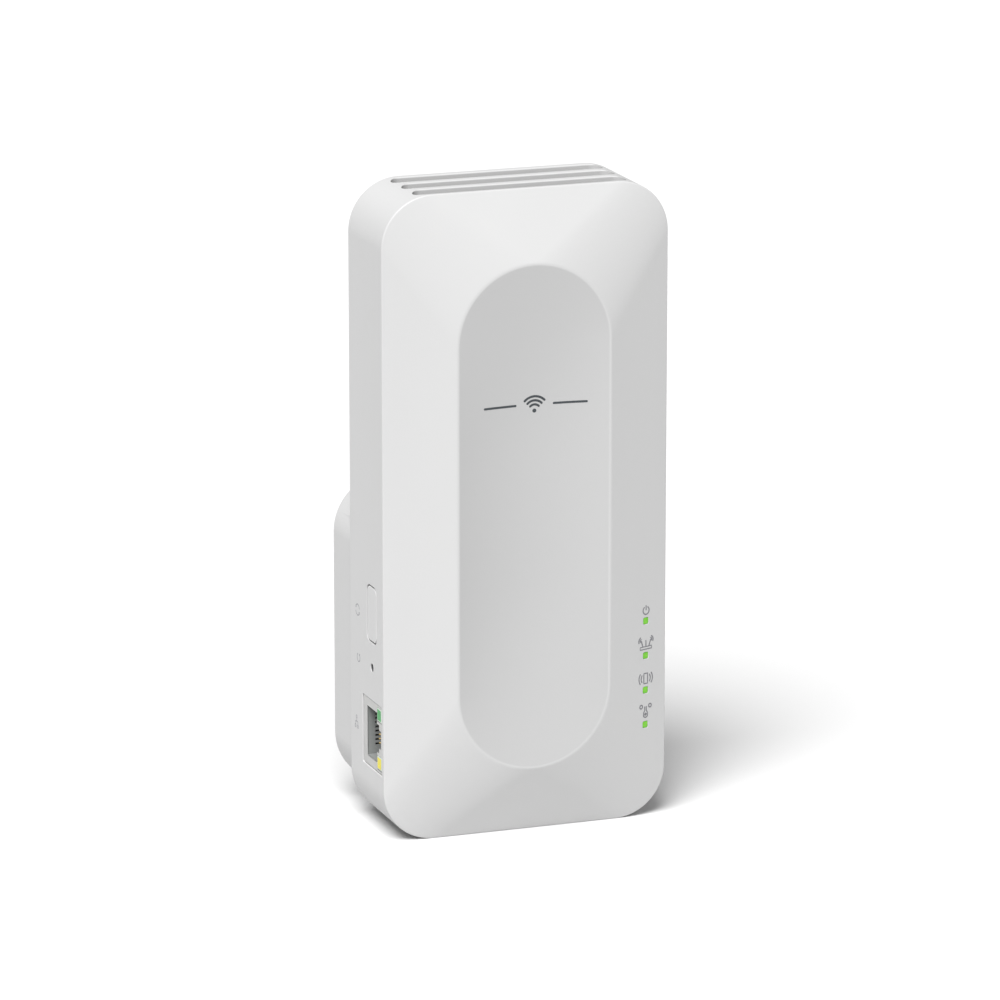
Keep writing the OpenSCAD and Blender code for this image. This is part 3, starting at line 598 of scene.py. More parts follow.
def body_ring(y, inset=0.0):
    outline = rounded_rectangle(BODY_W, BODY_H, CORNER_R, 24, 24)
    return [Vector((u, y, MID_Z + v)) for u, v in outline(-inset)]


def pad_ring(y, inset=0.0):
    outline = rounded_rectangle(PAD_W - 2 * inset, PAD_H - 2 * inset, PAD_W / 2 - inset, 24, 24)
    return [Vector((u, y, MID_Z + v)) for u, v in outline()]


def towards(ring, goal, distance):
    return [a + (b - a).normalized() * distance for a, b in zip(ring, goal)]


def bend(before, corner, after, steps=6):
    """Rings that round the corner between two flat stretches."""
    rings = []
    for k in range(steps + 1):
        t = k / steps
        rings.append([(1 - t) ** 2 * a + 2 * t * (1 - t) * c + t * t * b
                      for a, c, b in zip(before, corner, after)])
    return rings


def hollow_depth(x, z):
    """How far the pad is hollowed at a point: a trough across, fading out towards both round ends."""
    half = PAD_W / 2
    past_end = max(0.0, abs(z - MID_Z) - (PAD_H / 2 - half))
    reach = math.sqrt(max(half * half - past_end * past_end, 0.0))
    if reach < 0.001 * mm:
        return 0.0
    fade = min(1.0, (PAD_H / 2 - abs(z - MID_Z)) / HOLLOW_FADE)
    return DISH * math.sin(fade * math.pi / 2) * max(0.0, 1 - (x / reach) ** 2)


def dish_ring(inset):
    return [Vector((p.x, PAD_Y + hollow_depth(p.x, p.z), p.z)) for p in pad_ring(PAD_Y, inset)]


def offset_rings(depth):
    """Rings of the body's form at a depth below its surface, from the middle of the front to the back."""
    slope = DOME / (BODY_W / 2 - PAD_W / 2)
    edge_y = EDGE_Y + depth / math.cos(math.atan(slope)) - depth * slope
    pad_y = PAD_Y + DISH + depth - 0.2 * mm
    spread = (BODY_W / 2 - depth) - (edge_y - pad_y) / slope - PAD_W / 2
    return [pad_ring(pad_y, PAD_W / 2), pad_ring(pad_y, PAD_W / 4), pad_ring(pad_y, -spread),
            body_ring(edge_y, depth), body_ring(BACK_Y, depth)]


def shell_rings():
    """Rings from the middle of the inside, round the back rim, to the middle of the hollow pad."""
    rim = body_ring(BACK_Y)
    back = bend(body_ring(BACK_Y, 0.4 * mm), rim, body_ring(BACK_Y - 0.4 * mm), 4)
    wall = [body_ring(BACK_Y - 0.8 * mm), body_ring(EDGE_Y + EDGE_SOFT + 0.3 * mm)]
    edge, pad = body_ring(EDGE_Y), pad_ring(PAD_Y)
    front = bend(body_ring(EDGE_Y + EDGE_SOFT), edge, towards(edge, pad, EDGE_SOFT))
    near_edge, near_pad = towards(edge, pad, EDGE_SOFT + 0.3 * mm), towards(pad, edge, LIP_SOFT + 0.3 * mm)
    facet = [[a.lerp(b, k / 8) for a, b in zip(near_edge, near_pad)] for k in range(9)]
    lip = bend(towards(pad, edge, LIP_SOFT), pad, dish_ring(LIP_SOFT), 8)
    hollow = [dish_ring(LIP_SOFT + (PAD_W / 2 - LIP_SOFT) * k / 24) for k in range(1, 25)]
    return offset_rings(WALL) + back + wall + front + facet + lip + hollow


def vent_cutters():
    outline = rounded_rectangle(VENT_L, VENT_W, VENT_W / 2, 12)
    cutters = []
    for plane, direction in ((TOP, 1), (BOTTOM, -1)):
        first = slab("vent_cut", plane.shifted(0, direction * VENT_FIRST), outline, flared(4 * mm, 0.35 * mm))
        cutters.append(repeat(first, row, {"Count": VENT_COUNT, "Step": (0, VENT_PITCH, 0)}))
    return cutters


def window_cutters():
    outline = rounded_rectangle(LIGHT_SIZE, LIGHT_SIZE, 0.35 * mm, 5)
    facet = FACET_RIGHT.shifted((LIGHT_X - BODY_W / 2) / FACET_RIGHT.right.x, LIGHT_TOP_Z)
    first = slab("window_cut", facet, outline, flared(4 * mm, 0.12 * mm, steps=3))
    return [repeat(first, row, {"Count": LIGHT_COUNT, "Step": (0, 0, -LIGHT_PITCH)})]


def side_cutters():
    button, jack = rounded_rectangle(*BUTTON_CUT, 10), rounded_rectangle(*JACK_CUT, 4)
    return [
        slab("button_cut", LEFT.shifted(0, BUTTON_Z), button, flared(3 * mm, 0.12 * mm)),
        slab("jack_cut", LEFT.shifted(0, JACK_Z), jack, flared(22 * mm, 0.1 * mm)),
        slab("pinhole_cut", LEFT.shifted(0, RESET_Z), circle(PINHOLE_R, 12), flared(3 * mm, 0.1 * mm)),
    ]


def inner_bosses():
    """Screw bosses, posts of the light rail and the ribs that carry the upper antennas."""
    start = PAD_Y
    ends = [(x, z, COVER_BOSS_R, BACK_Y - 2 * COVER_T - JOIN) for x, z in UPPER_SCREWS]
    ends += [(x, z, COVER_BOSS_R, BACK_Y - COVER_T - JOIN) for x, z in LOWER_SCREWS]
    ends += [(x, z, BOARD_BOSS_R, BOARD_Y) for x, z in BOARD_SCREWS]
    ends += [(LIGHT_X, z, RAIL_POST_R, RAIL_Y) for z in (pipe_low.z + 1.4 * mm, pipe_high.z - 1.4 * mm)]
    bosses = [round_bar(x, z, r, start, y, min(0.3 * mm, r / 4)) for x, z, r, y in ends]
    for name in ("antenna_top_left", "antenna_top_right"):
        low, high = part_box(name)
        end = low.y - 0.8 * mm
        place = facing_wall((low.x + high.x) / 2, (low.z + high.z) / 2, end)
        for w, h in ((10 * mm, 1.2 * mm), (1.2 * mm, 7 * mm)):
            outline = rounded_rectangle(w, h, 0.2 * mm, 2)
            bosses.append(slab("rib", place.shifted(0, -1 * mm, start - end), outline, straight(end - start)))
    combine(bosses[0], bosses[1:], "UNION")
    return combine(bosses[0], [loft("mid_wall", offset_rings(WALL / 2))], "INTERSECT")


def screw_pilots():
    pilots = [round_bar(x, z, PILOT_R, BACK_Y - 13 * mm, BACK_Y) for x, z in UPPER_SCREWS + LOWER_SCREWS]
    return pilots + [round_bar(x, z, BOARD_HOLE_R, BOARD_Y - 5.6 * mm, BOARD_Y + 1 * mm)
                     for x, z in BOARD_SCREWS]


def make_front_shell():
    shell = loft("housing_front", shell_rings(), capped=False)
    combine(shell, [inner_bosses()], "UNION")
    combine(shell, vent_cutters() + window_cutters() + side_cutters() + screw_pilots())
    return finish_piece(shell, "shell_white", stands_for=("front_shell",))


make_front_shell()


# ---- rear cover ----

def make_rear_cover():
    block_outline = rounded_rectangle(BLOCK_W, BLOCK_H, BLOCK_R, 16)
    block = slab("housing_back", facing_wall(0, BLOCK_Z, BACK_Y - JOIN), block_outline,
                 rounded_edge(-BACK_Y + JOIN, 1.8 * mm, 8))
    inset = WALL + FIT_GAP
    plate_outline = rounded_rectangle(BODY_W - 2 * inset, BODY_H - 2 * inset, CORNER_R - inset, 16)
    plate = slab("plate", facing_wall(0, MID_Z, BACK_Y - COVER_T), plate_outline,
                 rounded_edge(COVER_T, 0.25 * mm))
    cups = [round_bar(x, z, CUP_R, BACK_Y - 2 * COVER_T - 0.4 * mm, BACK_Y - JOIN) for x, z in UPPER_SCREWS]
    combine(block, [plate, *cups], "UNION")
    front = BACK_Y - COVER_T - 1 * mm
    inner = slab("inside", facing_wall(0, BLOCK_Z, front), block_outline,
                 [(-BLOCK_WALL, 0), (-BLOCK_WALL, -front - BLOCK_WALL)])
    posts = [round_bar(x, z, LOWER_POST_R, BACK_Y - COVER_T - 2 * mm, 1 * mm) for x, z in LOWER_SCREWS]
    posts += [round_bar(x, z, SUPPLY_POST_R, supply_high.y, 1 * mm) for x, z in SUPPLY_SCREWS]
    combine(inner, posts)
    wells = [round_bar(x, z, UPPER_WELL_R, BACK_Y - COVER_T, BACK_Y, -0.25 * mm) for x, z in UPPER_SCREWS]
    wells += [round_bar(x, z, LOWER_WELL_R, BACK_Y, 0, -0.3 * mm) for x, z in LOWER_SCREWS]
    holes = [round_bar(x, z, COVER_HOLE_R, BACK_Y - 6 * mm, BACK_Y + JOIN)
             for x, z in UPPER_SCREWS + LOWER_SCREWS]
    holes += [round_bar(x, z, BOARD_HOLE_R, supply_high.y - 1 * mm, supply_high.y + 5.4 * mm)
              for x, z in SUPPLY_SCREWS]
    seat = slab("seat", BACK, rounded_rectangle(26.2 * mm, 19.2 * mm, 3.1 * mm, 8), flared(5 * mm, 0.15 * mm))
    label_outline = rounded_rectangle(LABEL_W + 0.4 * mm, LABEL_H + 0.4 * mm, 1.7 * mm, 6)
    label_seat = slab("label_seat", BACK.shifted(0, LABEL_Z), label_outline, flared(0.3 * mm, 0.1 * mm))
    combine(block, [inner, *wells, *holes, seat, label_seat])
    return finish_piece(block, "plug_white", stands_for=("rear_cover",))


make_rear_cover()


# ---- sync button ----

def make_button():
    cap = slab("sync_button_cap", LEFT.shifted(0, BUTTON_Z, -CAP_DEPTH), rounded_rectangle(*BUTTON_CAP, 10),
               rounded_edge(CAP_DEPTH, 0.2 * mm, 5))
    flange = slab("flange", LEFT.shifted(0, BUTTON_Z, -3 * mm), rounded_rectangle(*BUTTON_FLANGE, 8),
                  rounded_edge(1 * mm, 0.1 * mm))
    stem_back = button_high.x - SIDE_X
    stem = slab("stem", LEFT.shifted(0, BUTTON_Z, -stem_back), circle(STEM_R, 8),
                rounded_edge(stem_back - 2.5 * mm, 0.1 * mm))
    combine(cap, [flange, stem], "UNION")
    return finish_piece(cap, "button_white", body="button", stands_for=("sync_button",))


make_button()


def make_gap_shades():
    """Painted shade: a black ring set behind the gap round the button, and a dark grey tube in the pinhole,
    to make both look dark.
    """
    # painted shade: a black ring fills the gap round the button below the surface
    ring = slab("button_gap_shade", LEFT.shifted(0, BUTTON_Z, -0.95 * mm), rounded_rectangle(*GAP_SHADE_OUTSIDE, 10),
                straight(0.6 * mm))
    middle = slab("middle", LEFT.shifted(0, BUTTON_Z, -1.2 * mm), rounded_rectangle(*GAP_SHADE_INSIDE, 10),
                  straight(1.2 * mm))
    finish_piece(combine(ring, [middle]), "gasket_black")
    # painted shade: a dark grey tube lines the pinhole
    sleeve = slab("pinhole_shade", LEFT.shifted(0, RESET_Z, -1.7 * mm), circle(PINHOLE_SHADE_R, 12),
                  straight(1.5 * mm))
    bore = slab("bore", LEFT.shifted(0, RESET_Z, -2 * mm), circle(PINHOLE_SHADE_BORE_R, 12), straight(2 * mm))
    finish_piece(combine(sleeve, [bore]), "foam_grey")


make_gap_shades()


# ---- status lights ----

def make_light_pipe():
    """Four rods that end in the windows, a rail that joins them and four rods back to the lamps."""
    copies = {"Count": LIGHT_COUNT, "Step": (0, 0, -LIGHT_PITCH)}
    facet = FACET_RIGHT.shifted((LIGHT_X - BODY_W / 2) / FACET_RIGHT.right.x, LIGHT_TOP_Z, -4.3 * mm)
    lens = slab("status_light_rods", facet, rounded_rectangle(1.5 * mm, 1.5 * mm, 0.32 * mm, 5),
                rounded_edge(4.25 * mm, 0.12 * mm))
    repeat(lens, row, copies)
    rail_place = Plane((LIGHT_X, RAIL_Y + 1.5 * mm, (pipe_low.z + pipe_high.z) / 2), (1, 0, 0), (0, 0, 1))
    rail_outline = rounded_rectangle(pipe_high.x - pipe_low.x, pipe_high.z - pipe_low.z, 0.5 * mm)
    rail = slab("rail", rail_place, rail_outline, rounded_edge(1.5 * mm, 0.2 * mm))
    lower = slab("rod", Plane((LIGHT_X, pipe_high.y, LIGHT_TOP_Z), (1, 0, 0), (0, 0, 1)),
                 rounded_rectangle(1.6 * mm, 1.6 * mm, 0.3 * mm),
                 rounded_edge(pipe_high.y - RAIL_Y, 0.1 * mm))
    repeat(lower, row, copies)
    combine(lens, [rail, lower], "UNION")
    return finish_piece(lens, "pipe_clear", stands_for=("light_pipe",))


make_light_pipe()


# ---- printed marks ----

class Hollow:
    """The curved surface of the hollow pad, used like a plane."""

    @staticmethod
    def at(u, v, height=0.0):
        return Vector((u, PAD_Y + hollow_depth(u, MID_Z + v) - height, MID_Z + v))


class Print:
    """Marks printed on a surface, each a very thin closed solid that follows it. Measures in millimetres."""
    UNDER, OVER, LAYER_STEP = -0.04 * mm, 0.02 * mm, 0.002 * mm
    STEP = 0.6

    def __init__(self, surface, u=0.0, v=0.0):
        self.surface, self.u, self.v = surface, u, v
        self.verts, self.faces, self.layer = [], [], 0.0

    def add(self, rings, closed=False):
        start, count = len(self.verts), len(rings[0])
        for ring in rings:
            self.verts += [self.surface.at((self.u + u) * mm, (self.v + v) * mm,
                                           h + (self.layer if h > 0 else 0)) for u, v, h in ring]
        self.layer += self.LAYER_STEP
        for k in range(len(rings) - (0 if closed else 1)):
            a, b = start + k * count, start + (k + 1) % len(rings) * count
            self.faces += [(a + i, a + (i + 1) % count, b + (i + 1) % count, b + i) for i in range(count)]
        if not closed:
            self.faces += [tuple(start + i for i in reversed(range(count))),
                           tuple(len(self.verts) - count + i for i in range(count))]

    def line(self, path, width=0.24, closed=False):
        """A stroke of even width with round ends."""
        half = width / 2
        points = [Vector(p) for p in path]
        fine = []
        for a, b in zip(points, points[1:] + (points[:1] if closed else [])):
            pieces = max(1, math.ceil((b - a).length / self.STEP))
            fine += [a.lerp(b, k / pieces) for k in range(pieces)]
        if not closed:
            fine.append(points[-1])
        sized = [(p, half) for p in fine]
        if not closed:
            first, last = (fine[0] - fine[1]).normalized(), (fine[-1] - fine[-2]).normalized()
            caps = [(half * math.sin(math.radians(a)), half * math.cos(math.radians(a)))
                    for a in (84, 60, 35, 15)]
            sized = ([(fine[0] + first * out, w) for out, w in caps] + sized
                     + [(fine[-1] + last * out, w) for out, w in reversed(caps)])
        rings = []
        for k, (p, w) in enumerate(sized):
            before = sized[k - 1][0] if k or closed else p
            after = sized[(k + 1) % len(sized)][0] if k + 1 < len(sized) or closed else p
            along = (after - before).normalized()
            side = Vector((-along.y, along.x)) * w
            left, right = p + side, p - side
            rings.append([(q.x, q.y, h) for q, h in ((left, self.UNDER), (right, self.UNDER),
                                                     (right, self.OVER), (left, self.OVER))])
        self.add(rings, closed)

    def patch(self, corners):
        self.add([[(u, v, h) for u, v in corners] for h in (self.UNDER, self.OVER)])

    def dot(self, u, v, radius, steps=16):
        self.patch(arc(u, v, radius, 0, 360 - 360 / steps, steps - 1))

    def box(self, u, v, w, h, width=0.24):
        corners = ((-1, -1), (1, -1), (1, 1), (-1, 1))
        self.line([(u + a * w / 2, v + b * h / 2) for a, b in corners], width, closed=True)

    def make(self, name, finish, slot="shell_white"):
        return finish_piece(new_mesh(name, self.verts, self.faces), slot, finish=finish)


def arc(u, v, radius, start, end, steps=12):
    angles = [math.radians(start + (end - start) * k / steps) for k in range(steps + 1)]
    return [(u + radius * math.cos(a), v + radius * math.sin(a)) for a in angles]


def arrow(mark, radius, start, end):
    """An arrow curved round the middle, its head at the end angle."""
    mark.line(arc(0, 0, radius, start, end))
    a, head = math.radians(end), 0.38
    corners = ((radius - head, a), (radius + head, a), (radius, a + head * 1.5 / radius))
    mark.patch([(r * math.cos(t), r * math.sin(t)) for r, t in corners])


def make_emblem():
    mark = Print(Hollow, 0.7, 50 - MID_Z / mm)
    mark.dot(0, -1.45, 0.48)
    for radius in (1.45, 2.4, 3.35):
        mark.line(arc(0, -1.45, radius, 45, 135), 0.52)
    for side in (-1, 1):
        mark.line([(side * 4.6, 0), (side * 12.2, 0)], 0.5)
    mark.make("front_emblem", emblem_grey)


def make_front_symbols():
    facet_u = (LIGHT_X - BODY_W / 2) / FACET_RIGHT.right.x / mm
    power = Print(FACET_RIGHT, facet_u, -1.2)
    power.line(arc(0, 0, 0.92, 125, 415, 24), SYMBOL_STROKE)
    power.line([(0, 0.15), (0, 1.1)], SYMBOL_STROKE)
    power.make("power_symbol", symbol_grey)
    router = Print(FACET_RIGHT, facet_u, -9.1)
    router.box(0, -1.0, 3.5, 0.62)
    router.line([(0, -0.6), (0, 0.75)], SYMBOL_STROKE)
    for side in (-1, 1):
        router.line([(side * 0.95, -0.6), (side * 1.4, 0.75)], SYMBOL_STROKE)
        middle = 20 if side > 0 else 160
        for radius in (0.5, 0.95):
            router.line(arc(side * 1.25, 0.75, radius, middle - 42, middle + 42), SYMBOL_STROKE)
    router.make("link_symbol", symbol_grey)
    handset = Print(FACET_RIGHT, facet_u, -17.4)
    handset.box(0, 0, 1.15, 2.4, SYMBOL_STROKE)
    for side in (-1, 1):
        for radius in (1.4, 2.05):
            middle = 0 if side > 0 else 180
            handset.line(arc(0, 0, radius, middle - 34, middle + 34), SYMBOL_STROKE)
    handset.make("device_symbol", symbol_grey)
    pairing = Print(FACET_RIGHT, facet_u, -25.1)
    pairing.line(arc(0, -0.85, 0.75, -140, -40), SYMBOL_STROKE)
    pairing.dot(0, -0.85, 0.36)
    for side in (-1, 1):
        neck = ((0.58, -1.3), (0.58, -0.5), (0.24, 0.1), (0.24, 0.9))
        pairing.line([(side * u, v) for u, v in neck], SYMBOL_STROKE)
        pairing.line(arc(side * 1.35, 1.05, 0.42, 0, 360, 16)[:-1], SYMBOL_STROKE, closed=True)
    pairing.make("pairing_symbol", symbol_grey)


def make_side_symbols():
    sync = Print(LEFT, -10.0, -0.3)
    for start in (20, 200):
        arrow(sync, 1.3, start, start + 125)
    sync.make("sync_symbol", print_grey)
    reset = Print(LEFT, -9.5, RESET_Z / mm)
    arrow(reset, 1.0, 130, 400)
    reset.make("reset_symbol", print_grey)
    network = Print(LEFT, -11.1, -27.2)
    for u, v in ((0, 1.15), (-0.8, -1.15), (0.8, -1.15)):
        network.box(u, v, 0.62, 0.62, 0.2)
    network.line([(0, 0.66), (0, 0.0)], 0.2)
    network.line([(-0.8, -0.66), (-0.8, 0.0), (0.8, 0.0), (0.8, -0.66)], 0.2)
    network.make("network_symbol", print_grey)


make_emblem()
make_front_symbols()
make_side_symbols()


# ---- rating label ----

def make_label():
    film = slab("rating_film", BACK.shifted(0, LABEL_Z, label_low.y),
                rounded_rectangle(LABEL_W, LABEL_H, 1.5 * mm, 6),
                rounded_edge(label_high.y - label_low.y, 0.05 * mm, 2))
    finish_piece(film, "label_film", stands_for=("rating_label",))
    marks = Print(BACK.shifted(0, LABEL_Z, label_high.y))
    marks.box(0, 0, LABEL_W / mm - 2.4, LABEL_H / mm - 2.4, 0.15)
    for k, length in enumerate((21, 17, 19, 12)):
        marks.line([(-17, 6 - 2.2 * k), (-17 + length, 6 - 2.2 * k)], 0.55)
    for size in (4.6, 2.6):
        marks.box(13.2, 3.8, size, size, 0.3)
    for k in range(24):
        marks.line([(-17 + 0.95 * k, -7.0), (-17 + 0.95 * k, -3.9)], (0.2, 0.42, 0.28)[k % 3])
    marks.line([(10.2, -6.6), (10.2, -3.6), (13.2, -1.6), (16.2, -3.6), (16.2, -6.6)], 0.3, closed=True)
    marks.dot(13.2, -4.8, 0.7)
    marks.make("rating_marks", print_grey, "label_film")


make_label()


# ---- screws ----

def islands(node):
    """The points of each separate piece of a node."""
    bm = bmesh.new()
    bm.from_mesh(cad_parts[node].data)
    bmesh.ops.remove_doubles(bm, verts=bm.verts, dist=0.001 * mm)
    seen, found = set(), []
    for first in bm.verts:
        piece, queue = [], [first]
        while queue:
            v = queue.pop()
            if v not in seen:
                seen.add(v)
                piece.append(Vector(v.co))
                queue += [e.other_vert(v) for e in v.link_edges]
        if piece:
            found.append(piece)
    bm.free()
    return found


def lathe(name, place, profile, steps=32):
    """A turned solid, from a profile of (radius, height)."""
    angles = [2 * math.pi * k / steps for k in range(steps)]
    return loft(name, [[place.at(r * math.cos(a), r * math.sin(a), h) for a in angles] for r, h in profile])


THREAD_PITCH, THREAD_POINT = 0.8 * mm, 0.8 * mm


def make_screws(node, name):
    """Pan-head screws with a cross recess and a rolled thread, in place of the plain ones."""
    whole = None
    for points in islands(node):
        low = Vector(map(min, zip(*points)))
        high = Vector(map(max, zip(*points)))
        x, z = (low.x + high.x) / 2, (low.z + high.z) / 2
        head_r = (high.x - low.x) / 2
        wide = [p.y for p in points if math.hypot(p.x - x, p.z - z) > head_r * 0.85]
        outward = 1 if abs(max(wide) - high.y) < abs(min(wide) - low.y) else -1
        head_h = max(wide) - min(wide)
        shank_r = 0.54 * head_r
        length = high.y - low.y - head_h
        base = high.y - head_h if outward > 0 else low.y + head_h
        place = Plane((x, base, z), (-outward, 0, 0), (0, 0, 1))
        thread = []
        for k in range(int((length - 1 * mm) / THREAD_PITCH)):
            root = -length + THREAD_POINT + k * THREAD_PITCH
            thread += [(shank_r * 0.78, root), (shank_r, root + THREAD_PITCH / 2)]
        profile = [(shank_r * 0.5, -length), *thread, (shank_r * 0.78, 0), (head_r, 0),
                   (head_r, head_h * 0.5), (head_r * 0.94, head_h * 0.78),
                   (head_r * 0.8, head_h * 0.94), (head_r * 0.6, head_h)]
        screw = lathe(name, place, profile)
        depth = head_h * 0.75
        levels = [(-0.12 * mm, head_h - depth), (0.0, head_h + 0.2 * mm)]
        slots = [rounded_rectangle(head_r * w, head_r * h, 0.05 * mm, 2)
                 for w, h in ((1.15, 0.28), (0.28, 1.15))]
        combine(screw, [slab("slot", place, outline, levels) for outline in slots])
        whole = screw if whole is None else combine(whole, [screw], "UNION")
    return finish_piece(whole, "screw_steel", stands_for=(node,))


for node, name in (("cover_screws", "back_screws"), ("board_screws", "main_board_screws"),
                   ("supply_screws", "supply_board_screws")):
    make_screws(node, name)


# ---- small parts on the main board ----

def gather(name, pieces):
    """Joins separate solids into one object, each left as it is."""
    bm = bmesh.new()
    for piece in pieces:
        bm.from_mesh(piece.data)
        bpy.data.objects.remove(piece)
    return mesh_object(name, bm)


# each row: place of the first part, how many, and the step to the next, in millimetres
CHIP_ROWS = ((-27.5, 8, 12, 0, 2.4), (25.6, 8, 18, 0, 2.4), (-20, 57.9, 17, 2.5, 0),
             (5, -20.5, 8, 2.4, 0), (-9, -36, 5, 2.4, 0), (18, -36.5, 3, 0, -2.3))


def make_chip_rows():
    """Rows of small resistors and capacitors with tinned ends, and one memory chip with its legs."""
    face = Plane((0, BOARD_Y, 0), (1, 0, 0), (0, 0, 1))
    bodies, ends = [], []
    for u, v, count, du, dv in CHIP_ROWS:
        along = (0.8, 1.6) if du else (1.6, 0.8)
        size = {"Count": count, "Step": tuple(face.at(du * mm, dv * mm) - face.origin)}
        place = face.shifted(u * mm, v * mm, 0.02 * mm)
        body = slab("body", place, rounded_rectangle(along[0] * mm, along[1] * mm, 0.08 * mm, 2),
                    rounded_edge(0.45 * mm, 0.08 * mm, 2))
        bodies.append(repeat(body, row, size))
        for side in (-1, 1):
            shift = (0, side * 0.68 * mm) if du else (side * 0.68 * mm, 0)
            cap = (0.86, 0.4) if du else (0.4, 0.86)
            end = slab("end", place.shifted(*shift), rounded_rectangle(cap[0] * mm, cap[1] * mm, 0.1 * mm, 2),
                       rounded_edge(0.5 * mm, 0.1 * mm, 2))
            ends.append(repeat(end, row, size))
    chip = face.shifted(-3 * mm, -41 * mm, 0.15 * mm)
    bodies.append(slab("chip", chip, rounded_rectangle(5.2 * mm, 4 * mm, 0.2 * mm, 2),
                       rounded_edge(1.4 * mm, 0.2 * mm, 2)))
    for side in (-1, 1):
        leg = slab("leg", chip.shifted(-1.9 * mm, side * 2.4 * mm, -0.12 * mm),
                   rounded_rectangle(0.42 * mm, 1.1 * mm, 0.08 * mm, 2), rounded_edge(0.3 * mm, 0.08 * mm, 2))
        ends.append(repeat(leg, row, {"Count": 4, "Step": (1.27 * mm, 0, 0)}))
    finish_piece(gather("small_part_bodies", bodies), "chip_black")
    finish_piece(gather("small_part_ends", ends), "tinplate")


make_chip_rows()


# ---- wound choke ----

def make_choke():
    """Toroid core with a wire wound round it, in place of the plain ring."""
    low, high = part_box("common_mode_choke")
    centre, outer = (low + high) / 2, (high.x - low.x) / 2
    wire = 0.42 * mm
    inner_r = outer * 0.46
    half_h = (high.y - low.y) / 2
    core_w, core_h = outer - inner_r - 4 * wire, 2 * half_h - 4 * wire
    middle_r = (outer + inner_r) / 2
    place = Plane(centre, (-1, 0, 0), (0, 0, 1))
    section = rounded_rectangle(core_w, core_h, 0.8 * mm, 4)()
    steps = 48
    rings = []
    for k in range(steps):
        a = 2 * math.pi * k / steps
        rings.append([place.at((middle_r + u) * math.cos(a), (middle_r + u) * math.sin(a), v)
                      for u, v in section])
    core = loft("choke_core", rings + [rings[0]], capped=False)
    finish_piece(core, "ferrite_grey")
    turns, loops = 13, []
    path = rounded_rectangle(core_w + 2 * wire, core_h + 2 * wire, 1.1 * mm, 3)()
    for half in (0, 180):
        for k in range(turns):
            a = math.radians(half + 24 + k * 11)
            hoop = []
            for i, (u, v) in enumerate(path):
                before, after = Vector(path[i - 1]), Vector(path[(i + 1) % len(path)])
                normal = (after - before).normalized()
                normal = Vector((normal.y, -normal.x))
                ring = []
                for j in range(8):
                    b = 2 * math.pi * j / 8
                    du, dv = normal * wire * math.cos(b)
                    sideways = wire * math.sin(b)
                    r = middle_r + u + du
                    ring.append(place.at(r * math.cos(a) - sideways * math.sin(a),
                                         r * math.sin(a) + sideways * math.cos(a), v + dv))
                hoop.append(ring)
            loops.append(loft("turn", hoop + [hoop[0]], capped=False))
    return finish_piece(gather("choke_winding", loops), "coil_copper", stands_for=("common_mode_choke",))


make_choke()


# ---- pieces that keep their shape and get softened edges ----

def softened(node, width, body="housing"):
    """A copy of a node with its sharp edges rounded, in place of the plain one."""
    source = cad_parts[node]
    slot = source.material_slots[0].name.split(".")[0]
    bm = bmesh.new()
    bm.from_mesh(source.data)
    bm.transform(source.matrix_world)
    bmesh.ops.remove_doubles(bm, verts=bm.verts, dist=0.001 * mm)
    bmesh.ops.dissolve_limit(bm, angle_limit=math.radians(1), verts=bm.verts, edges=bm.edges)
    sharp = [e for e in bm.edges if len(e.link_faces) == 2 and e.calc_face_angle(0) > math.radians(30)]
    bmesh.ops.bevel(bm, geom=sharp, offset=width * mm, segments=2, profile=0.6, affect="EDGES",
                    clamp_overlap=True)
    return finish_piece(mesh_object(node + "_soft", bm), slot, body=body, stands_for=(node,))


for node, width in (
        ("plug_insert", 0.3), ("blade_left", 0.22), ("blade_right", 0.22), ("jack_shield", 0.12),
        ("jack_housing", 0.1), ("jack_light_green", 0.3), ("jack_light_yellow", 0.3), ("jack_contacts", 0.05),
        ("processor_chip", 0.1), ("radio_chip", 0.1), ("memory_chip", 0.1), ("processor_shield", 0.2),
        ("radio_shield", 0.2), ("processor_pad", 0.15), ("radio_pad", 0.15), ("heatsink", 0.12),
        ("ethernet_transformer", 0.2), ("power_inductors", 0.6), ("antenna_top_left", 0.08),
        ("antenna_top_right", 0.08), ("antenna_left", 0.08), ("antenna_right", 0.08), ("antenna_pads", 0.2),
        ("status_leds", 0.1), ("power_header", 0.15), ("power_header_pins", 0.08), ("bridge_rectifier", 0.4),
        ("filter_capacitor", 0.6), ("fuse", 0.4), ("supply_controller", 0.15), ("safety_capacitor", 0.5),
        ("transformer_core", 0.4), ("transformer_winding", 0.5), ("light_gasket", 0.15),
        ("switch_brackets", 0.08),
        ("sync_switch_body", 0.15), ("reset_switch_body", 0.15), ("main_board", 0.1), ("supply_board", 0.1)):
    softened(node, width)
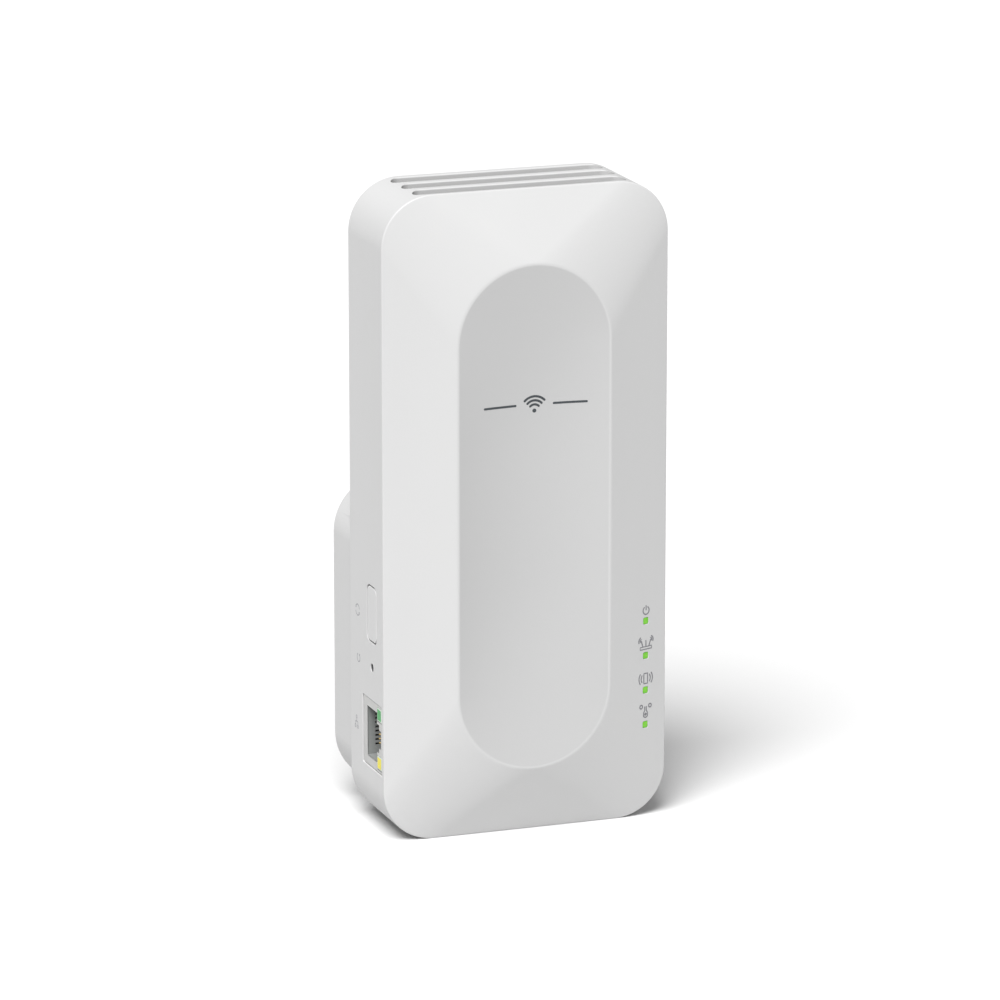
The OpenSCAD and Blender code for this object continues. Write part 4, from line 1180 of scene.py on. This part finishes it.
softened("sync_switch_plunger", 0.25, body="sync_plunger")
softened("reset_switch_plunger", 0.25, body="reset_plunger")

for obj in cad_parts.values():
    for material_slot in obj.material_slots:
        slot = material_slot.name.split(".")[0]
        if slot in finishes:
            material_slot.material = finishes[slot]


# ---- stage ----

FLOOR_REACH = 6.0


def make_floor():
    """A pale floor, which throws back less light than it shows."""
    corners = ((-1, -1), (1, -1), (1, 1), (-1, 1))
    verts = [(x * FLOOR_REACH, y * FLOOR_REACH, shell_low.z) for x, y in corners]
    floor = new_mesh("floor", verts, [(0, 1, 2, 3)])
    f = Finish("pale_floor")
    seen = add_node(f.tree, "ShaderNodeLightPath")
    f.set(Base_Color=mix_colour(f.tree, seen, (0.60,) * 3, (0.77,) * 3), Roughness=0.9)
    floor.data.materials.append(f.material)


def make_light(name, direction, spread, strength):
    """A broad, even studio light a long way off."""
    light = bpy.data.lights.new(name, "SUN")
    light.angle, light.energy = math.radians(spread), strength
    obj = add_object(name, light)
    obj.rotation_euler = (-Vector(direction).normalized()).to_track_quat("-Z", "Y").to_euler()


def make_camera():
    azimuth, elevation, distance = math.radians(-19.93), math.radians(14.24), 1.37525
    target = Vector((-6.17 * mm, EDGE_Y, MID_Z + 3.43 * mm))
    back = Vector((math.sin(azimuth) * math.cos(elevation), -math.cos(azimuth) * math.cos(elevation),
                   math.sin(elevation)))
    camera = bpy.data.cameras.new("camera")
    camera.lens, camera.sensor_width, camera.clip_start = 218.5, 36.0, 0.01
    obj = add_object("camera", camera)
    obj.location = target + back * distance
    obj.rotation_euler = (-back).to_track_quat("-Z", "Y").to_euler()
    bpy.context.scene.camera = obj


def make_world(strength):
    world = bpy.data.worlds.new("studio")
    world.use_nodes = True
    background = world.node_tree.nodes["Background"]
    background.inputs["Color"].default_value = (1, 1, 1, 1)
    background.inputs["Strength"].default_value = strength
    bpy.context.scene.world = world


make_floor()
make_light("key", (-0.33, -0.44, 0.83), 34, 4.2)
make_camera()
make_world(0.33)
bpy.context.scene.view_settings.view_transform = "Standard"
